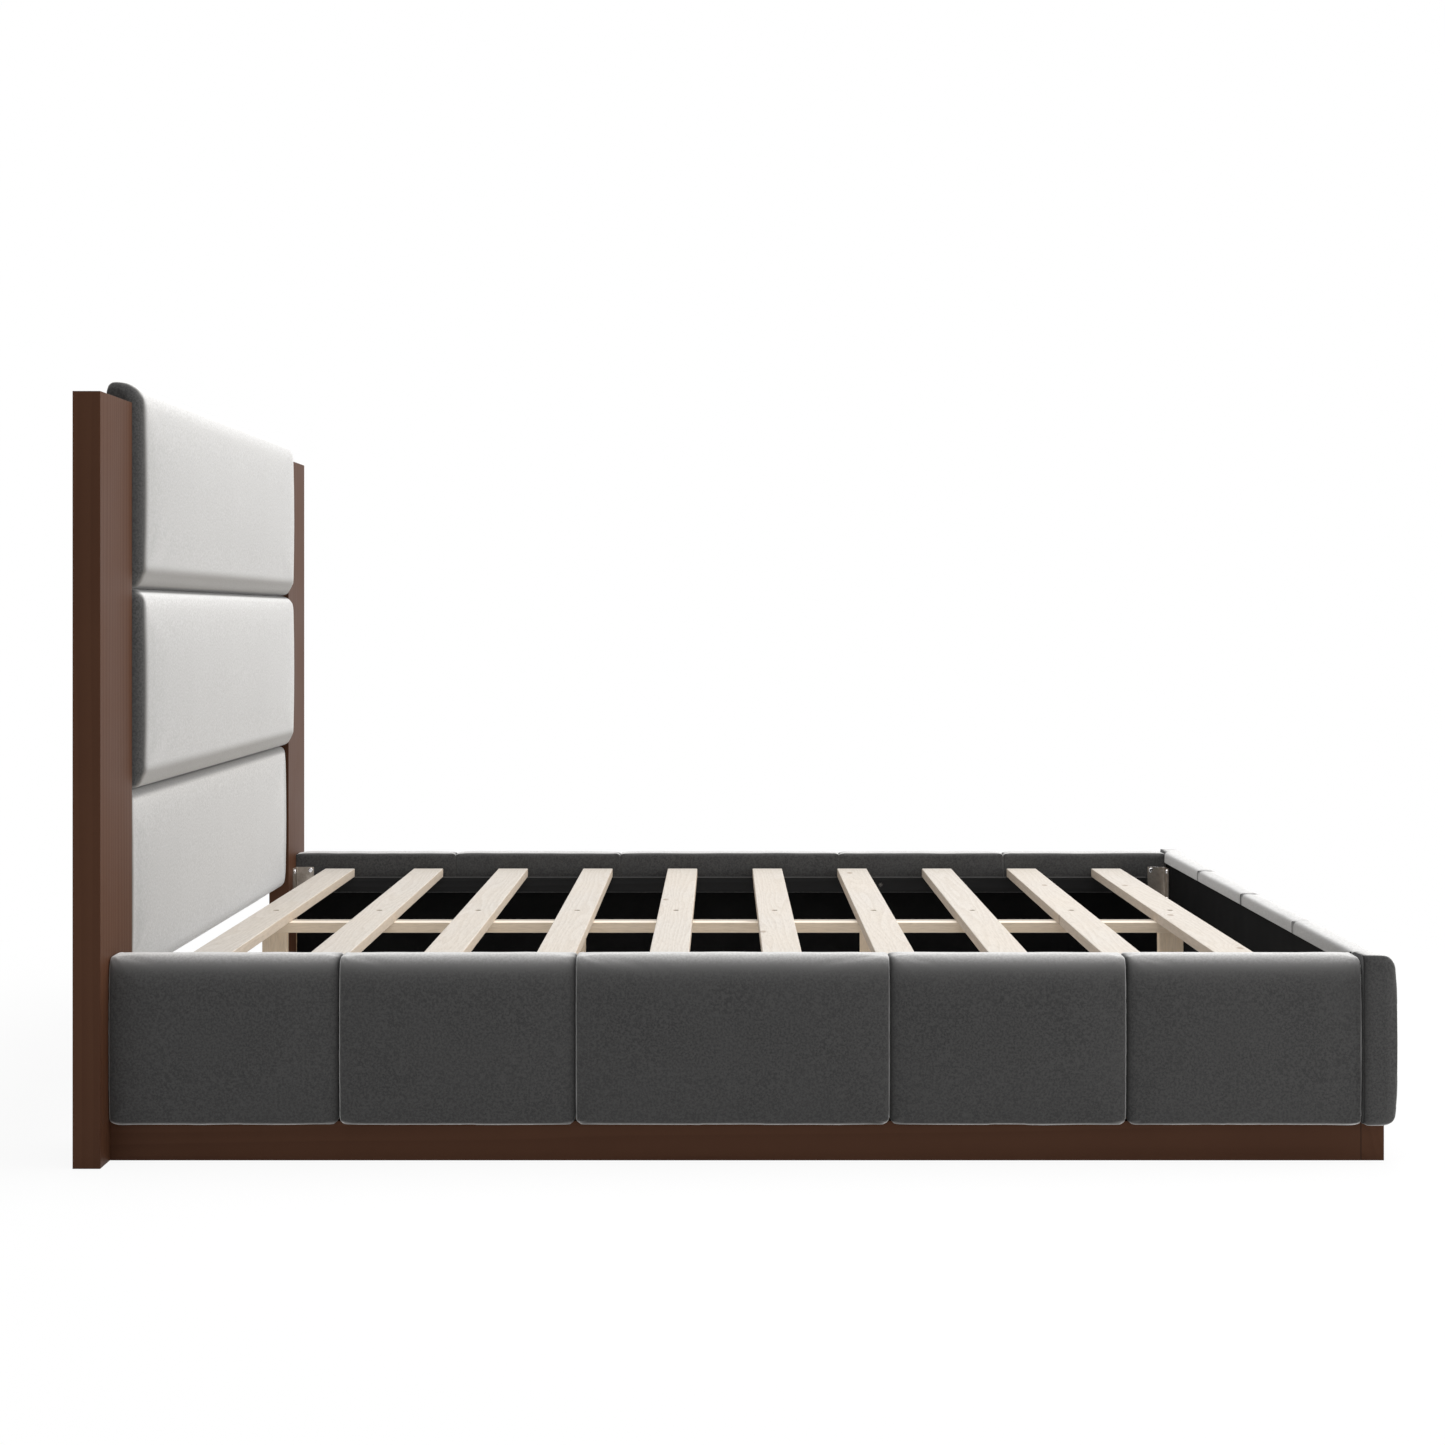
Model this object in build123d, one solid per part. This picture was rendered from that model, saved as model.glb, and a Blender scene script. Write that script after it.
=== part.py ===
from build123d import *
import math
import os

# Upholstered platform bed, in millimetres.
# The head is towards -X, the foot towards +X, and Z = 0 is the floor.
# Left and right are as seen from the foot, so left is -Y.
# The origin is on the floor, in the middle of the bed's length and width.

# Mattress that the bed takes, and the room left round it
mattress_length = 2032.0
mattress_width = 1524.0
mattress_end_room = 28.0
mattress_side_room = 15.0

# Headboard posts and panels
post_thickness = 45.0
post_width = 195.0
post_height = 1265.0
post_side_overhang = 34.5
headboard_clear_height = 271.0
lower_panel_height = 329.0
middle_panel_height = 347.0
upper_panel_height = 354.0
slim_panel_depth = 45.0
full_panel_depth = 65.0
panel_board_thickness = 20.0
panel_wrap = 16.0
back_cover_thickness = 1.0

# Rails and footboard
rail_top = 340.0
rail_board_thickness = 30.0
foot_board_thickness = 22.0
side_foam = 38.0
foot_foam = 30.0
cap_foam = 12.0
lip_thickness = 4.0
side_lip_tail = 4.0
foot_lip_height = 24.0
lining_thickness = 1.2
lining_end_margin = 2.0
lining_bottom_margin = 5.0
side_pad_shares = (0.184, 0.189, 0.251, 0.189, 0.187)
foot_seam_share = 0.5

# Plinth
plinth_height = 65.0
plinth_thickness = 38.0
plinth_side_setback = 23.0
plinth_foot_setback = 11.5

# Slats, ledgers, beam and legs
recess_depth = 37.0
slat_count = 10
slat_width = 70.0
slat_thickness = 20.0
slat_end_room = 7.0
slat_edge_radius = 2.0
head_slat_inset = 115.0
foot_slat_inset = 140.0
first_slat_shift = 9.0
ledger_thickness = 22.0
ledger_height = 34.0
ledger_end_margin = 6.0
beam_width = 50.0
beam_thickness = 20.0
leg_width = 48.0
leg_depth = 25.0
leg_offset = 5.0
slats_per_leg = 3

# Corner brackets and their bolts
bracket_drop = 34.0
bracket_height = 80.0
bracket_rail_flange = 43.0
bracket_end_flange = 40.0
bracket_thickness = 3.0
bracket_bend_radius = 2.0
bolt_edge_distance = 7.5
bolt_shank_diameter = 6.0
bolt_shank_length = 25.0
bolt_head_diameter = 11.0
bolt_head_height = 3.5
bolt_socket_width = 4.0
bolt_socket_depth = 2.0

# Screws
short_screw_length = 34.0
short_screw_diameter = 4.5
long_screw_length = 60.0
long_screw_diameter = 5.0
screw_head_diameter = 9.0
screw_head_height = 3.0
screw_drive_width = 1.0
screw_drive_length = 5.5
screw_drive_depth = 1.5
counterbore_diameter = 13.0
slat_counterbore_depth = 2.5
plinth_counterbore_depth = 25.0
slat_screw_offset = 15.0
ledger_screw_shares = (0.25, 0.75)
plinth_screw_shares = (0.08, 0.36, 0.64, 0.92)
foot_screw_shares = (-0.7, 0.0, 0.7)
leg_screw_shares = (-0.25, 0.25)

# Dowels
dowel_diameter = 10.0
dowel_length = 80.0
dowel_seat_depth = 25.0
panel_dowel_shares = (0.25, 0.75)
plinth_dowel_shares = (0.3, 0.7)

# Soft forms of the rail and foot pads
pad_draw_in = 9.0
pad_crown = 3.0
pad_bow = 4.0
pad_end_radius = 14.0
pad_seam_dip = 4.0
side_top_radius = 20.0
side_bottom_radius = 10.0
foot_top_radius = 16.0
foot_bottom_radius = 12.0
foot_end_draw = 11.0
lip_radius = 3.0

# Soft forms of the headboard panels
panel_crown = 3.0
panel_bow = 2.0
panel_end_radius = 30.0
panel_edge_radius = 28.0
panel_top_radius = 40.0
panel_slim_radius = 15.0
panel_back_radius = 6.0
panel_seam_dip = 8.0
panel_top_dip = 14.0

# Sections along a rounded end, and along the middle
end_step_count = 4
crown_step_count = 4

# Clearances
soft_gap = 0.3
hole_gap = 0.1
overrun = 2.0

# Places along the bed
interior_length = mattress_length + mattress_end_room
foot_depth = lip_thickness + foot_board_thickness + foot_foam
overall_length = post_thickness + interior_length + foot_depth
post_back_x = -overall_length / 2
post_front_x = post_back_x + post_thickness
foot_inner_x = post_front_x + interior_length
foot_board_x = foot_inner_x + lip_thickness
foot_board_outer_x = foot_board_x + foot_board_thickness
foot_crown_x = foot_board_outer_x + foot_foam
foot_lining_x = foot_board_x - lining_thickness
foot_plinth_outer_x = foot_crown_x - plinth_foot_setback
foot_plinth_inner_x = foot_plinth_outer_x - plinth_thickness
rail_length = foot_board_x - post_front_x

# Places across the bed, as distances from its middle
inner_y = mattress_width / 2 + mattress_side_room
board_y = inner_y + lip_thickness
board_outer_y = board_y + rail_board_thickness
crown_y = board_outer_y + side_foam
post_outer_y = crown_y + post_side_overhang
post_inner_y = post_outer_y - post_width
plinth_outer_y = crown_y - plinth_side_setback
plinth_inner_y = plinth_outer_y - plinth_thickness
plinth_middle_y = (plinth_inner_y + plinth_outer_y) / 2
plinth_screw_y = (plinth_inner_y + board_outer_y) / 2
foot_seam_y = board_outer_y * foot_seam_share
foot_lip_end_y = inner_y - soft_gap
ledger_y = inner_y - ledger_thickness
slat_end_y = inner_y - slat_end_room
panel_end_y = post_inner_y - soft_gap
panel_board_y = panel_end_y - panel_wrap

# Heights
board_top = rail_top - cap_foam
slat_top = rail_top - recess_depth
slat_bottom = slat_top - slat_thickness
ledger_bottom = slat_bottom - ledger_height
side_lip_bottom = ledger_bottom - side_lip_tail
foot_lip_bottom = rail_top - foot_lip_height
beam_bottom = slat_bottom - beam_thickness
bracket_top = rail_top - bracket_drop
bracket_bottom = bracket_top - bracket_height
lining_bottom = plinth_height + lining_bottom_margin

# Slats and legs along the bed
slat_pitch = (interior_length - head_slat_inset - foot_slat_inset) / (slat_count - 1)
leg_count = (slat_count - 1) // slats_per_leg + 1
slat_screw_top = slat_top - slat_counterbore_depth
ledger_screw_y = ledger_y + slat_counterbore_depth


def slat_x(index):
    """Middle of a slat. The first one lies a little nearer the head than the even pitch."""
    x = post_front_x + head_slat_inset + index * slat_pitch
    return x - first_slat_shift if index == 0 else x


def leg_x(index):
    """Middle of a leg, which stands under every third slat."""
    return post_front_x + head_slat_inset + index * slats_per_leg * slat_pitch - leg_offset


def side_pad_limits():
    """Seam places along a side rail, from the head to the foot."""
    seams = [post_front_x]
    for share in side_pad_shares:
        seams.append(seams[-1] + share * rail_length)
    return list(zip(seams[:-1], seams[1:]))


# Helpers

def box(x0, x1, y0, y1, z0, z1):
    """Box between two corners."""
    return Pos((x0 + x1) / 2, (y0 + y1) / 2, (z0 + z1) / 2) * Box(x1 - x0, y1 - y0, z1 - z0)


def to_right(shape):
    """Mirror image of a left-hand piece."""
    return mirror(shape, about=Plane.XZ)


def group(shapes):
    """Several separate solids in one node."""
    return Compound(children=[shape.solid() for shape in shapes])


def plane_across_rail(x):
    """Section plane of the left rail: outward is -Y, up is Z."""
    return Plane(origin=(x, 0, 0), x_dir=(0, -1, 0), z_dir=(-1, 0, 0))


def plane_across_foot(y):
    """Section plane of the footboard and headboard: outward is +X, up is Z."""
    return Plane(origin=(0, y, 0), x_dir=(1, 0, 0), z_dir=(0, -1, 0))


def bore(place, direction, diameter, depth):
    """Cylinder that starts at a place and runs in a direction."""
    start = Plane(origin=place, z_dir=direction)
    return start * Cylinder(diameter / 2, depth, align=(Align.CENTER, Align.CENTER, Align.MIN))


# Soft forms

def drawn_share(place, start, end, radius):
    """How much a pad is drawn in at a place: 1 at its ends and 0 past the rounding."""
    distance = min(place - start, end - place)
    if distance >= radius:
        return 0
    return 1 - math.sqrt(1 - (1 - distance / radius) ** 2)


def crown_loss(place, start, end, crown):
    """How far a pad falls from its crown at a place along it."""
    return crown * (2 * (place - start) / (end - start) - 1) ** 2


def section_places(start, end, radius):
    """Where a pad's sections lie: close together in its rounded ends, wide apart between them."""
    places = set()
    for step in range(end_step_count + 1):
        distance = radius * (1 - math.cos(math.pi / 2 * step / end_step_count))
        places.update((start + distance, end - distance))
    for step in range(1, crown_step_count):
        places.add(start + radius + (end - start - 2 * radius) * step / crown_step_count)
    return sorted(places)


def corner(centre_u, centre_v, radius, start_angle):
    """Quarter circle, clockwise from its start angle in degrees."""
    points = []
    for quarter_share in (0, 0.5, 1):
        angle = math.radians(start_angle) - math.pi / 2 * quarter_share
        points.append((centre_u + radius * math.cos(angle), centre_v + radius * math.sin(angle)))
    return ThreePointArc(*points)


def outer_curve(crown, bottom, top, bottom_radius, top_radius, bow):
    """Top corner, bowed face and bottom corner of a section, from the top down."""
    edge = crown - bow
    high = top - top_radius
    low = bottom + bottom_radius
    return [
        corner(edge - top_radius, high, top_radius, 90),
        ThreePointArc((edge, high), (crown, (high + low) / 2), (edge, low)),
        corner(edge - bottom_radius, low, bottom_radius, 0),
    ]


def hook_section(inner, board, board_outer, crown, bottom, top, lip_bottom, bottom_radius, top_radius):
    """Pad that hooks over a rail board: lip on its inner face, cap on its top, foam outside."""
    edge = crown - pad_bow
    return make_face(outer_curve(crown, bottom, top, bottom_radius, top_radius, pad_bow) + [
        Polyline(
            (edge - bottom_radius, bottom),
            (board_outer, bottom),
            (board_outer, board_top + soft_gap),
            (board, board_top + soft_gap),
            (board, lip_bottom),
            (inner, lip_bottom),
            (inner, top - lip_radius),
        ),
        corner(inner + lip_radius, top - lip_radius, lip_radius, 180),
        Line((inner + lip_radius, top), (edge - top_radius, top)),
    ])


def cap_section(board, board_outer, crown, bottom, top, bottom_radius, top_radius):
    """Pad with no lip: cap on the board's top and foam outside."""
    edge = crown - pad_bow
    return make_face(outer_curve(crown, bottom, top, bottom_radius, top_radius, pad_bow) + [
        Polyline(
            (edge - bottom_radius, bottom),
            (board_outer, bottom),
            (board_outer, board_top + soft_gap),
            (board, board_top + soft_gap),
            (board, top),
            (edge - top_radius, top),
        ),
    ])


def full_section(back, crown, bottom, top, bottom_radius, top_radius, back_radius, bow):
    """Pad with a straight back and foam right through."""
    edge = crown - bow
    return make_face(outer_curve(crown, bottom, top, bottom_radius, top_radius, bow) + [
        Line((edge - bottom_radius, bottom), (back + back_radius, bottom)),
        corner(back + back_radius, bottom + back_radius, back_radius, 270),
        Line((back, bottom + back_radius), (back, top - back_radius)),
        corner(back + back_radius, top - back_radius, back_radius, 180),
        Line((back + back_radius, top), (edge - top_radius, top)),
    ])


def side_pad(start, end):
    """Pad of the left rail between two seams."""
    start, end = start + soft_gap / 2, end - soft_gap / 2
    sections = []
    for x in section_places(start, end, pad_end_radius):
        drawn = drawn_share(x, start, end, pad_end_radius)
        crown = crown_y - pad_draw_in * drawn - crown_loss(x, start, end, pad_crown)
        top = rail_top - pad_seam_dip * drawn
        bottom = plinth_height + pad_seam_dip * drawn
        sections.append(plane_across_rail(x) * hook_section(
            inner_y, board_y, board_outer_y + soft_gap, crown, bottom, top,
            side_lip_bottom, side_bottom_radius, side_top_radius))
    return loft(sections, ruled=True)


def foot_outline(y, start, end):
    """Crown, bottom and top of a foot pad at a place across the bed."""
    drawn = drawn_share(y, start, end, pad_end_radius)
    at_bed_end = start < -board_outer_y and y < -board_outer_y
    draw = foot_end_draw if at_bed_end else pad_draw_in
    dip = foot_end_draw if at_bed_end else pad_seam_dip
    crown = foot_crown_x - draw * drawn - crown_loss(y, start, end, pad_crown)
    return crown, plinth_height + dip * drawn, rail_top - dip * drawn


def foot_stretch(low, high, start, end, make_section):
    """Loft of the part of a foot pad between two places."""
    inside = [y for y in section_places(start, end, pad_end_radius) if low < y < high]
    sections = []
    for y in [low] + inside + [high]:
        sections.append(plane_across_foot(y) * make_section(*foot_outline(y, start, end)))
    return loft(sections, ruled=True)


def foot_hook(crown, bottom, top):
    """Section of a foot pad with its lip."""
    return hook_section(
        foot_inner_x, foot_board_x, foot_board_outer_x + soft_gap, crown, bottom, top,
        foot_lip_bottom, foot_bottom_radius, foot_top_radius)


def foot_cap(crown, bottom, top):
    """Section of a foot pad where the side rail meets the footboard."""
    return cap_section(
        foot_board_x, foot_board_outer_x + soft_gap, crown, bottom, top,
        foot_bottom_radius, foot_top_radius)


def foot_wrap(crown, bottom, top):
    """Section of a foot pad past the end of the footboard's board."""
    return full_section(
        foot_board_x, crown, bottom, top, foot_bottom_radius, foot_top_radius, lip_radius, pad_bow)


def inner_foot_pad():
    """Left foot pad beside the middle seam."""
    start, end = -foot_seam_y + soft_gap / 2, -soft_gap / 2
    return foot_stretch(start, end, start, end, foot_hook)


def end_foot_pad():
    """Left foot pad at the corner, wrapped round the end of the board."""
    start, end = -crown_y, -foot_seam_y - soft_gap / 2
    wrap_y = -board_outer_y - soft_gap
    return (
        foot_stretch(start, wrap_y, start, end, foot_wrap)
        + foot_stretch(wrap_y, -foot_lip_end_y, start, end, foot_cap)
        + foot_stretch(-foot_lip_end_y, end, start, end, foot_hook)
    )


# Headboard

panel_names = ("lower", "middle", "upper")
panel_heights = (lower_panel_height, middle_panel_height, upper_panel_height)
panel_depths = (slim_panel_depth, full_panel_depth, full_panel_depth)
panel_radii = (
    (panel_slim_radius, panel_slim_radius),
    (panel_edge_radius, panel_edge_radius),
    (panel_edge_radius, panel_top_radius),
)
panel_end_radii = (panel_slim_radius, panel_end_radius, panel_end_radius)
panel_top_dips = (panel_seam_dip, panel_seam_dip, panel_top_dip)
panel_board_x = post_back_x + back_cover_thickness
panel_board_front_x = panel_board_x + panel_board_thickness
panel_board_middle_x = panel_board_x + panel_board_thickness / 2


def panel_limits(index):
    """Bottom and top of a headboard pad."""
    bottom = headboard_clear_height + sum(panel_heights[:index])
    return bottom + soft_gap / 2, bottom + panel_heights[index] - soft_gap / 2


def panel_board_limits(index):
    """Bottom and top of the board inside a headboard pad."""
    bottom, top = panel_limits(index)
    return bottom + panel_wrap, top - panel_wrap


def panel_dowel_heights(index):
    """Heights of the two dowels at each end of a panel."""
    bottom, top = panel_board_limits(index)
    return [bottom + share * (top - bottom) for share in panel_dowel_shares]


def dowel(place, direction):
    """Dowel that starts in its seat below a face and runs out of it."""
    seat = Vector(*place) - Vector(*direction) * (dowel_seat_depth - hole_gap)
    return bore(seat, direction, dowel_diameter, dowel_length - 2 * hole_gap)


def dowel_seat(place, direction):
    """Hole that takes both ends of a dowel."""
    seat = Vector(*place) - Vector(*direction) * dowel_seat_depth
    return bore(seat, direction, dowel_diameter + 2 * hole_gap, dowel_length)


def panel_dowel_places(index):
    """Starts and directions of a panel's dowels, on the posts' inner faces."""
    places = []
    for height in panel_dowel_heights(index):
        places.append(((panel_board_middle_x, -post_inner_y, height), (0, 1, 0)))
        places.append(((panel_board_middle_x, post_inner_y, height), (0, -1, 0)))
    return places


def plinth_dowel_places():
    """Starts and directions of the plinth's dowels, on the posts and the foot plinth."""
    places = []
    for share in plinth_dowel_shares:
        for y in (-plinth_middle_y, plinth_middle_y):
            places.append(((post_front_x, y, share * plinth_height), (1, 0, 0)))
            places.append(((foot_plinth_inner_x, y, share * plinth_height), (-1, 0, 0)))
    return places


all_dowel_places = plinth_dowel_places()
for panel_index in range(len(panel_names)):
    all_dowel_places += panel_dowel_places(panel_index)


def panel_pad(index):
    """Upholstered foam of a headboard panel, with the pocket for its board at the back."""
    bottom, top = panel_limits(index)
    depth = panel_depths[index]
    bottom_radius, top_radius = panel_radii[index]
    end_radius = panel_end_radii[index]
    sections = []
    for y in section_places(-panel_end_y, panel_end_y, end_radius):
        drawn = drawn_share(y, -panel_end_y, panel_end_y, end_radius)
        loss = end_radius * drawn + crown_loss(y, -panel_end_y, panel_end_y, panel_crown)
        left_share = (depth - loss) / depth
        sections.append(plane_across_foot(y) * full_section(
            post_back_x, post_back_x + depth - loss,
            bottom + panel_seam_dip * drawn, top - panel_top_dips[index] * drawn,
            bottom_radius * left_share, top_radius * left_share, panel_back_radius, panel_bow))
    pad = loft(sections, ruled=True)
    board_bottom, board_top_z = panel_board_limits(index)
    pad -= box(
        post_back_x - overrun, panel_board_front_x + soft_gap,
        -panel_board_y - soft_gap, panel_board_y + soft_gap,
        board_bottom - soft_gap, board_top_z + soft_gap)
    for place, direction in panel_dowel_places(index):
        pad -= dowel_seat(place, direction)
    return pad


def panel_board(index):
    """Plywood board inside a headboard panel."""
    bottom, top = panel_board_limits(index)
    board = box(panel_board_x, panel_board_front_x, -panel_board_y, panel_board_y, bottom, top)
    for place, direction in panel_dowel_places(index):
        board -= dowel_seat(place, direction)
    return board


def panel_cover(index):
    """Thin cloth over the back of a panel's board."""
    bottom, top = panel_board_limits(index)
    return box(post_back_x, panel_board_x, -panel_board_y, panel_board_y, bottom, top)


# Corner brackets and bolts

bracket_corners = {
    "head": (post_front_x, 1),
    "foot": (foot_lining_x, -1),
}


def bracket_bolt_heights():
    """Heights of the two bolts of each flange."""
    return bracket_bottom + bolt_edge_distance, bracket_top - bolt_edge_distance


def bracket_bolt_places(end):
    """Where the left bracket's bolts meet its inner faces, with their directions."""
    corner_x, sense = bracket_corners[end]
    rail_x = corner_x + sense * (bracket_rail_flange - bolt_edge_distance)
    end_y = -inner_y + bracket_end_flange - bolt_edge_distance
    places = []
    for height in bracket_bolt_heights():
        places.append(((rail_x, -inner_y + bracket_thickness, height), (0, -1, 0)))
        places.append(((corner_x + sense * bracket_thickness, end_y, height), (-sense, 0, 0)))
    return places


left_bolt_places = bracket_bolt_places("head") + bracket_bolt_places("foot")


def corner_bracket(end):
    """Left steel angle bracket in the corner at one end."""
    corner_x, sense = bracket_corners[end]
    rail = Rectangle(bracket_rail_flange, bracket_thickness, align=(Align.MIN, Align.MIN))
    across = Rectangle(bracket_thickness, bracket_end_flange, align=(Align.MIN, Align.MIN))
    angle = rail + across
    inside = angle.vertices().sort_by_distance((bracket_thickness, bracket_thickness))[0]
    angle = fillet(inside, bracket_bend_radius)
    bracket = extrude(angle, bracket_height)
    if sense < 0:
        bracket = mirror(bracket, about=Plane.YZ)
    bracket = Pos(corner_x, -inner_y, bracket_bottom) * bracket
    for place, direction in bracket_bolt_places(end):
        bracket -= bolt_hole(place, direction)
    return bracket


def bolt_hole(place, direction):
    """Hole for a bracket bolt, through the flange and into the wood behind it."""
    start = Vector(*place) - Vector(*direction) * overrun
    return bore(start, direction, bolt_shank_diameter + 2 * hole_gap,
                bolt_shank_length + overrun + hole_gap)


def bracket_bolt(place, direction):
    """Round-headed bolt with a six-sided socket."""
    head_top = Vector(*place) - Vector(*direction) * bolt_head_height
    head = bore(head_top, direction, bolt_head_diameter, bolt_head_height)
    rim = head.edges().filter_by(GeomType.CIRCLE).sort_by_distance(head_top)[0]
    head = fillet(rim, bolt_head_height / 2)
    shank = bore(place, direction, bolt_shank_diameter, bolt_shank_length)
    socket_plane = Plane(origin=head_top, z_dir=direction)
    socket = extrude(socket_plane * RegularPolygon(bolt_socket_width / 2, 6), bolt_socket_depth)
    return head + shank - socket


def cut_bolts(shape):
    """Take the left bolts' holes out of a left-hand piece."""
    for place, direction in left_bolt_places:
        shape -= bolt_hole(place, direction)
    return shape


# Screws

def screw(place, direction, diameter, length):
    """Countersunk screw with a cross drive, from its head's top along a direction."""
    shank = bore((0, 0, 0), (0, 0, 1), diameter, length)
    cone = Cone(screw_head_diameter / 2, diameter / 2, screw_head_height,
                align=(Align.CENTER, Align.CENTER, Align.MIN))
    drive = Box(screw_drive_length, screw_drive_width, 2 * screw_drive_depth)
    body = shank + cone - drive - Rot(0, 0, 90) * drive
    return Plane(origin=place, z_dir=direction) * body


def screw_hole(place, direction, diameter, length, counterbore_depth):
    """Hole for a screw with its countersink, and a counterbore above its head."""
    hole = bore((0, 0, 0), (0, 0, 1), diameter + 2 * hole_gap, length + hole_gap)
    hole += Cone(screw_head_diameter / 2 + hole_gap, diameter / 2 + hole_gap, screw_head_height,
                 align=(Align.CENTER, Align.CENTER, Align.MIN))
    if counterbore_depth:
        hole += bore((0, 0, 0), (0, 0, -1), counterbore_diameter, counterbore_depth + overrun)
    return Plane(origin=place, z_dir=direction) * hole


def slat_screw_place(index):
    """Top of the screw that holds a slat to the beam."""
    return slat_x(index), slat_screw_offset, slat_screw_top


def ledger_screw_places():
    """Tops of the left ledger's screws, two to each pad."""
    height = (slat_bottom + ledger_bottom) / 2
    places = []
    for start, end in side_pad_limits():
        for share in ledger_screw_shares:
            places.append((start + share * (end - start), -ledger_screw_y, height))
    return places


def side_plinth_screw_places():
    """Tops of the screws from the left plinth up into the rail board."""
    return [
        (post_front_x + share * rail_length, -plinth_screw_y, plinth_counterbore_depth)
        for share in plinth_screw_shares
    ]


def foot_plinth_screw_places():
    """Tops of the screws from the foot plinth up into the footboard."""
    x = (foot_plinth_inner_x + foot_board_outer_x) / 2
    return [(x, share * board_outer_y, plinth_counterbore_depth) for share in foot_screw_shares]


def leg_screw_places(index):
    """Tops of the screws from the beam down into a leg."""
    return [(leg_x(index) + share * leg_width, -leg_depth / 2, slat_bottom) for share in leg_screw_shares]


def cut_short_screws(shape, places, direction, counterbore_depth=0):
    """Take short screws' holes out of a piece."""
    for place in places:
        shape -= screw_hole(place, direction, short_screw_diameter, short_screw_length, counterbore_depth)
    return shape


def cut_long_screws(shape, places, direction, counterbore_depth=0):
    """Take long screws' holes out of a piece."""
    for place in places:
        shape -= screw_hole(place, direction, long_screw_diameter, long_screw_length, counterbore_depth)
    return shape


down = (0, 0, -1)
up = (0, 0, 1)
outward = (0, -1, 0)


# Wooden pieces

def headboard_post():
    """Left post, with seats for the panels' and plinth's dowels and the bracket's bolts."""
    post = box(post_back_x, post_front_x, -post_outer_y, -post_inner_y, 0, post_height)
    for place, direction in all_dowel_places:
        if place[1] < 0:
            post -= dowel_seat(place, direction)
    return cut_bolts(post)


def side_rail():
    """Board inside the left rail."""
    board = box(post_front_x, foot_board_x, -board_outer_y, -board_y, plinth_height, board_top)
    board = cut_short_screws(board, ledger_screw_places(), outward)
    board = cut_long_screws(board, side_plinth_screw_places(), up)
    return cut_bolts(board)


def foot_rail():
    """Board inside the footboard."""
    board = box(foot_board_x, foot_board_outer_x, -board_outer_y, board_outer_y, plinth_height, board_top)
    board = cut_long_screws(board, foot_plinth_screw_places(), up)
    return to_right(cut_bolts(to_right(cut_bolts(board))))


def side_plinth():
    """Left plinth board, between the post and the foot plinth."""
    board = box(post_front_x, foot_plinth_inner_x, -plinth_outer_y, -plinth_inner_y, 0, plinth_height)
    board = cut_long_screws(board, side_plinth_screw_places(), up, plinth_counterbore_depth)
    for place, direction in plinth_dowel_places():
        board -= dowel_seat(place, direction)
    return board


def foot_plinth():
    """Plinth board across the foot."""
    board = box(foot_plinth_inner_x, foot_plinth_outer_x, -plinth_outer_y, plinth_outer_y, 0, plinth_height)
    board = cut_long_screws(board, foot_plinth_screw_places(), up, plinth_counterbore_depth)
    for place, direction in plinth_dowel_places():
        board -= dowel_seat(place, direction)
    return board


def ledger():
    """Left strip that carries the slats' ends."""
    start = post_front_x + bracket_rail_flange + ledger_end_margin
    end = foot_lining_x - bracket_rail_flange - ledger_end_margin
    strip = box(start, end, -inner_y, -ledger_y, ledger_bottom, slat_bottom)
    return cut_short_screws(strip, ledger_screw_places(), outward, slat_counterbore_depth)


def side_lining():
    """Black lining cloth on the left rail board, below the ledger."""
    cloth = box(
        post_front_x + lining_end_margin, foot_board_x,
        -board_y, -board_y + lining_thickness,
        lining_bottom, side_lip_bottom - soft_gap)
    return cut_bolts(cloth)


def foot_lining():
    """Black lining cloth on the footboard's board, below its pads' lips."""
    cloth = box(
        foot_lining_x, foot_board_x, -foot_lip_end_y, foot_lip_end_y,
        lining_bottom, foot_lip_bottom - soft_gap)
    return to_right(cut_bolts(to_right(cut_bolts(cloth))))


def center_beam():
    """Beam under the slats, flush with the end legs."""
    beam = box(
        leg_x(0) - leg_width / 2, leg_x(leg_count - 1) + leg_width / 2,
        -beam_width / 2, beam_width / 2, beam_bottom, slat_bottom)
    beam = cut_short_screws(beam, [slat_screw_place(i) for i in range(slat_count)], down)
    for i in range(leg_count):
        beam = cut_long_screws(beam, leg_screw_places(i), down)
    return beam


def center_leg(index):
    """Leg under the beam, with its front flush with the beam's."""
    x = leg_x(index)
    leg = box(x - leg_width / 2, x + leg_width / 2, -leg_depth, 0, 0, beam_bottom)
    return cut_long_screws(leg, leg_screw_places(index), down)


def slat(index):
    """Slat with soft edges and one countersunk hole over the beam."""
    x = slat_x(index)
    board = box(x - slat_width / 2, x + slat_width / 2, -slat_end_y, slat_end_y, slat_bottom, slat_top)
    board = fillet(board.edges(), slat_edge_radius)
    return cut_short_screws(board, [slat_screw_place(index)], down, slat_counterbore_depth)


def finished_side_pad(limits):
    """Left side pad with the holes that its lip has for screws and bolts."""
    pad = side_pad(*limits)
    places = [place for place in ledger_screw_places() if limits[0] < place[0] < limits[1]]
    pad = cut_short_screws(pad, places, outward)
    near_bolt = limits[0] == post_front_x or limits == side_pad_limits()[-1]
    return cut_bolts(pad) if near_bolt else pad


# All nodes

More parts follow.
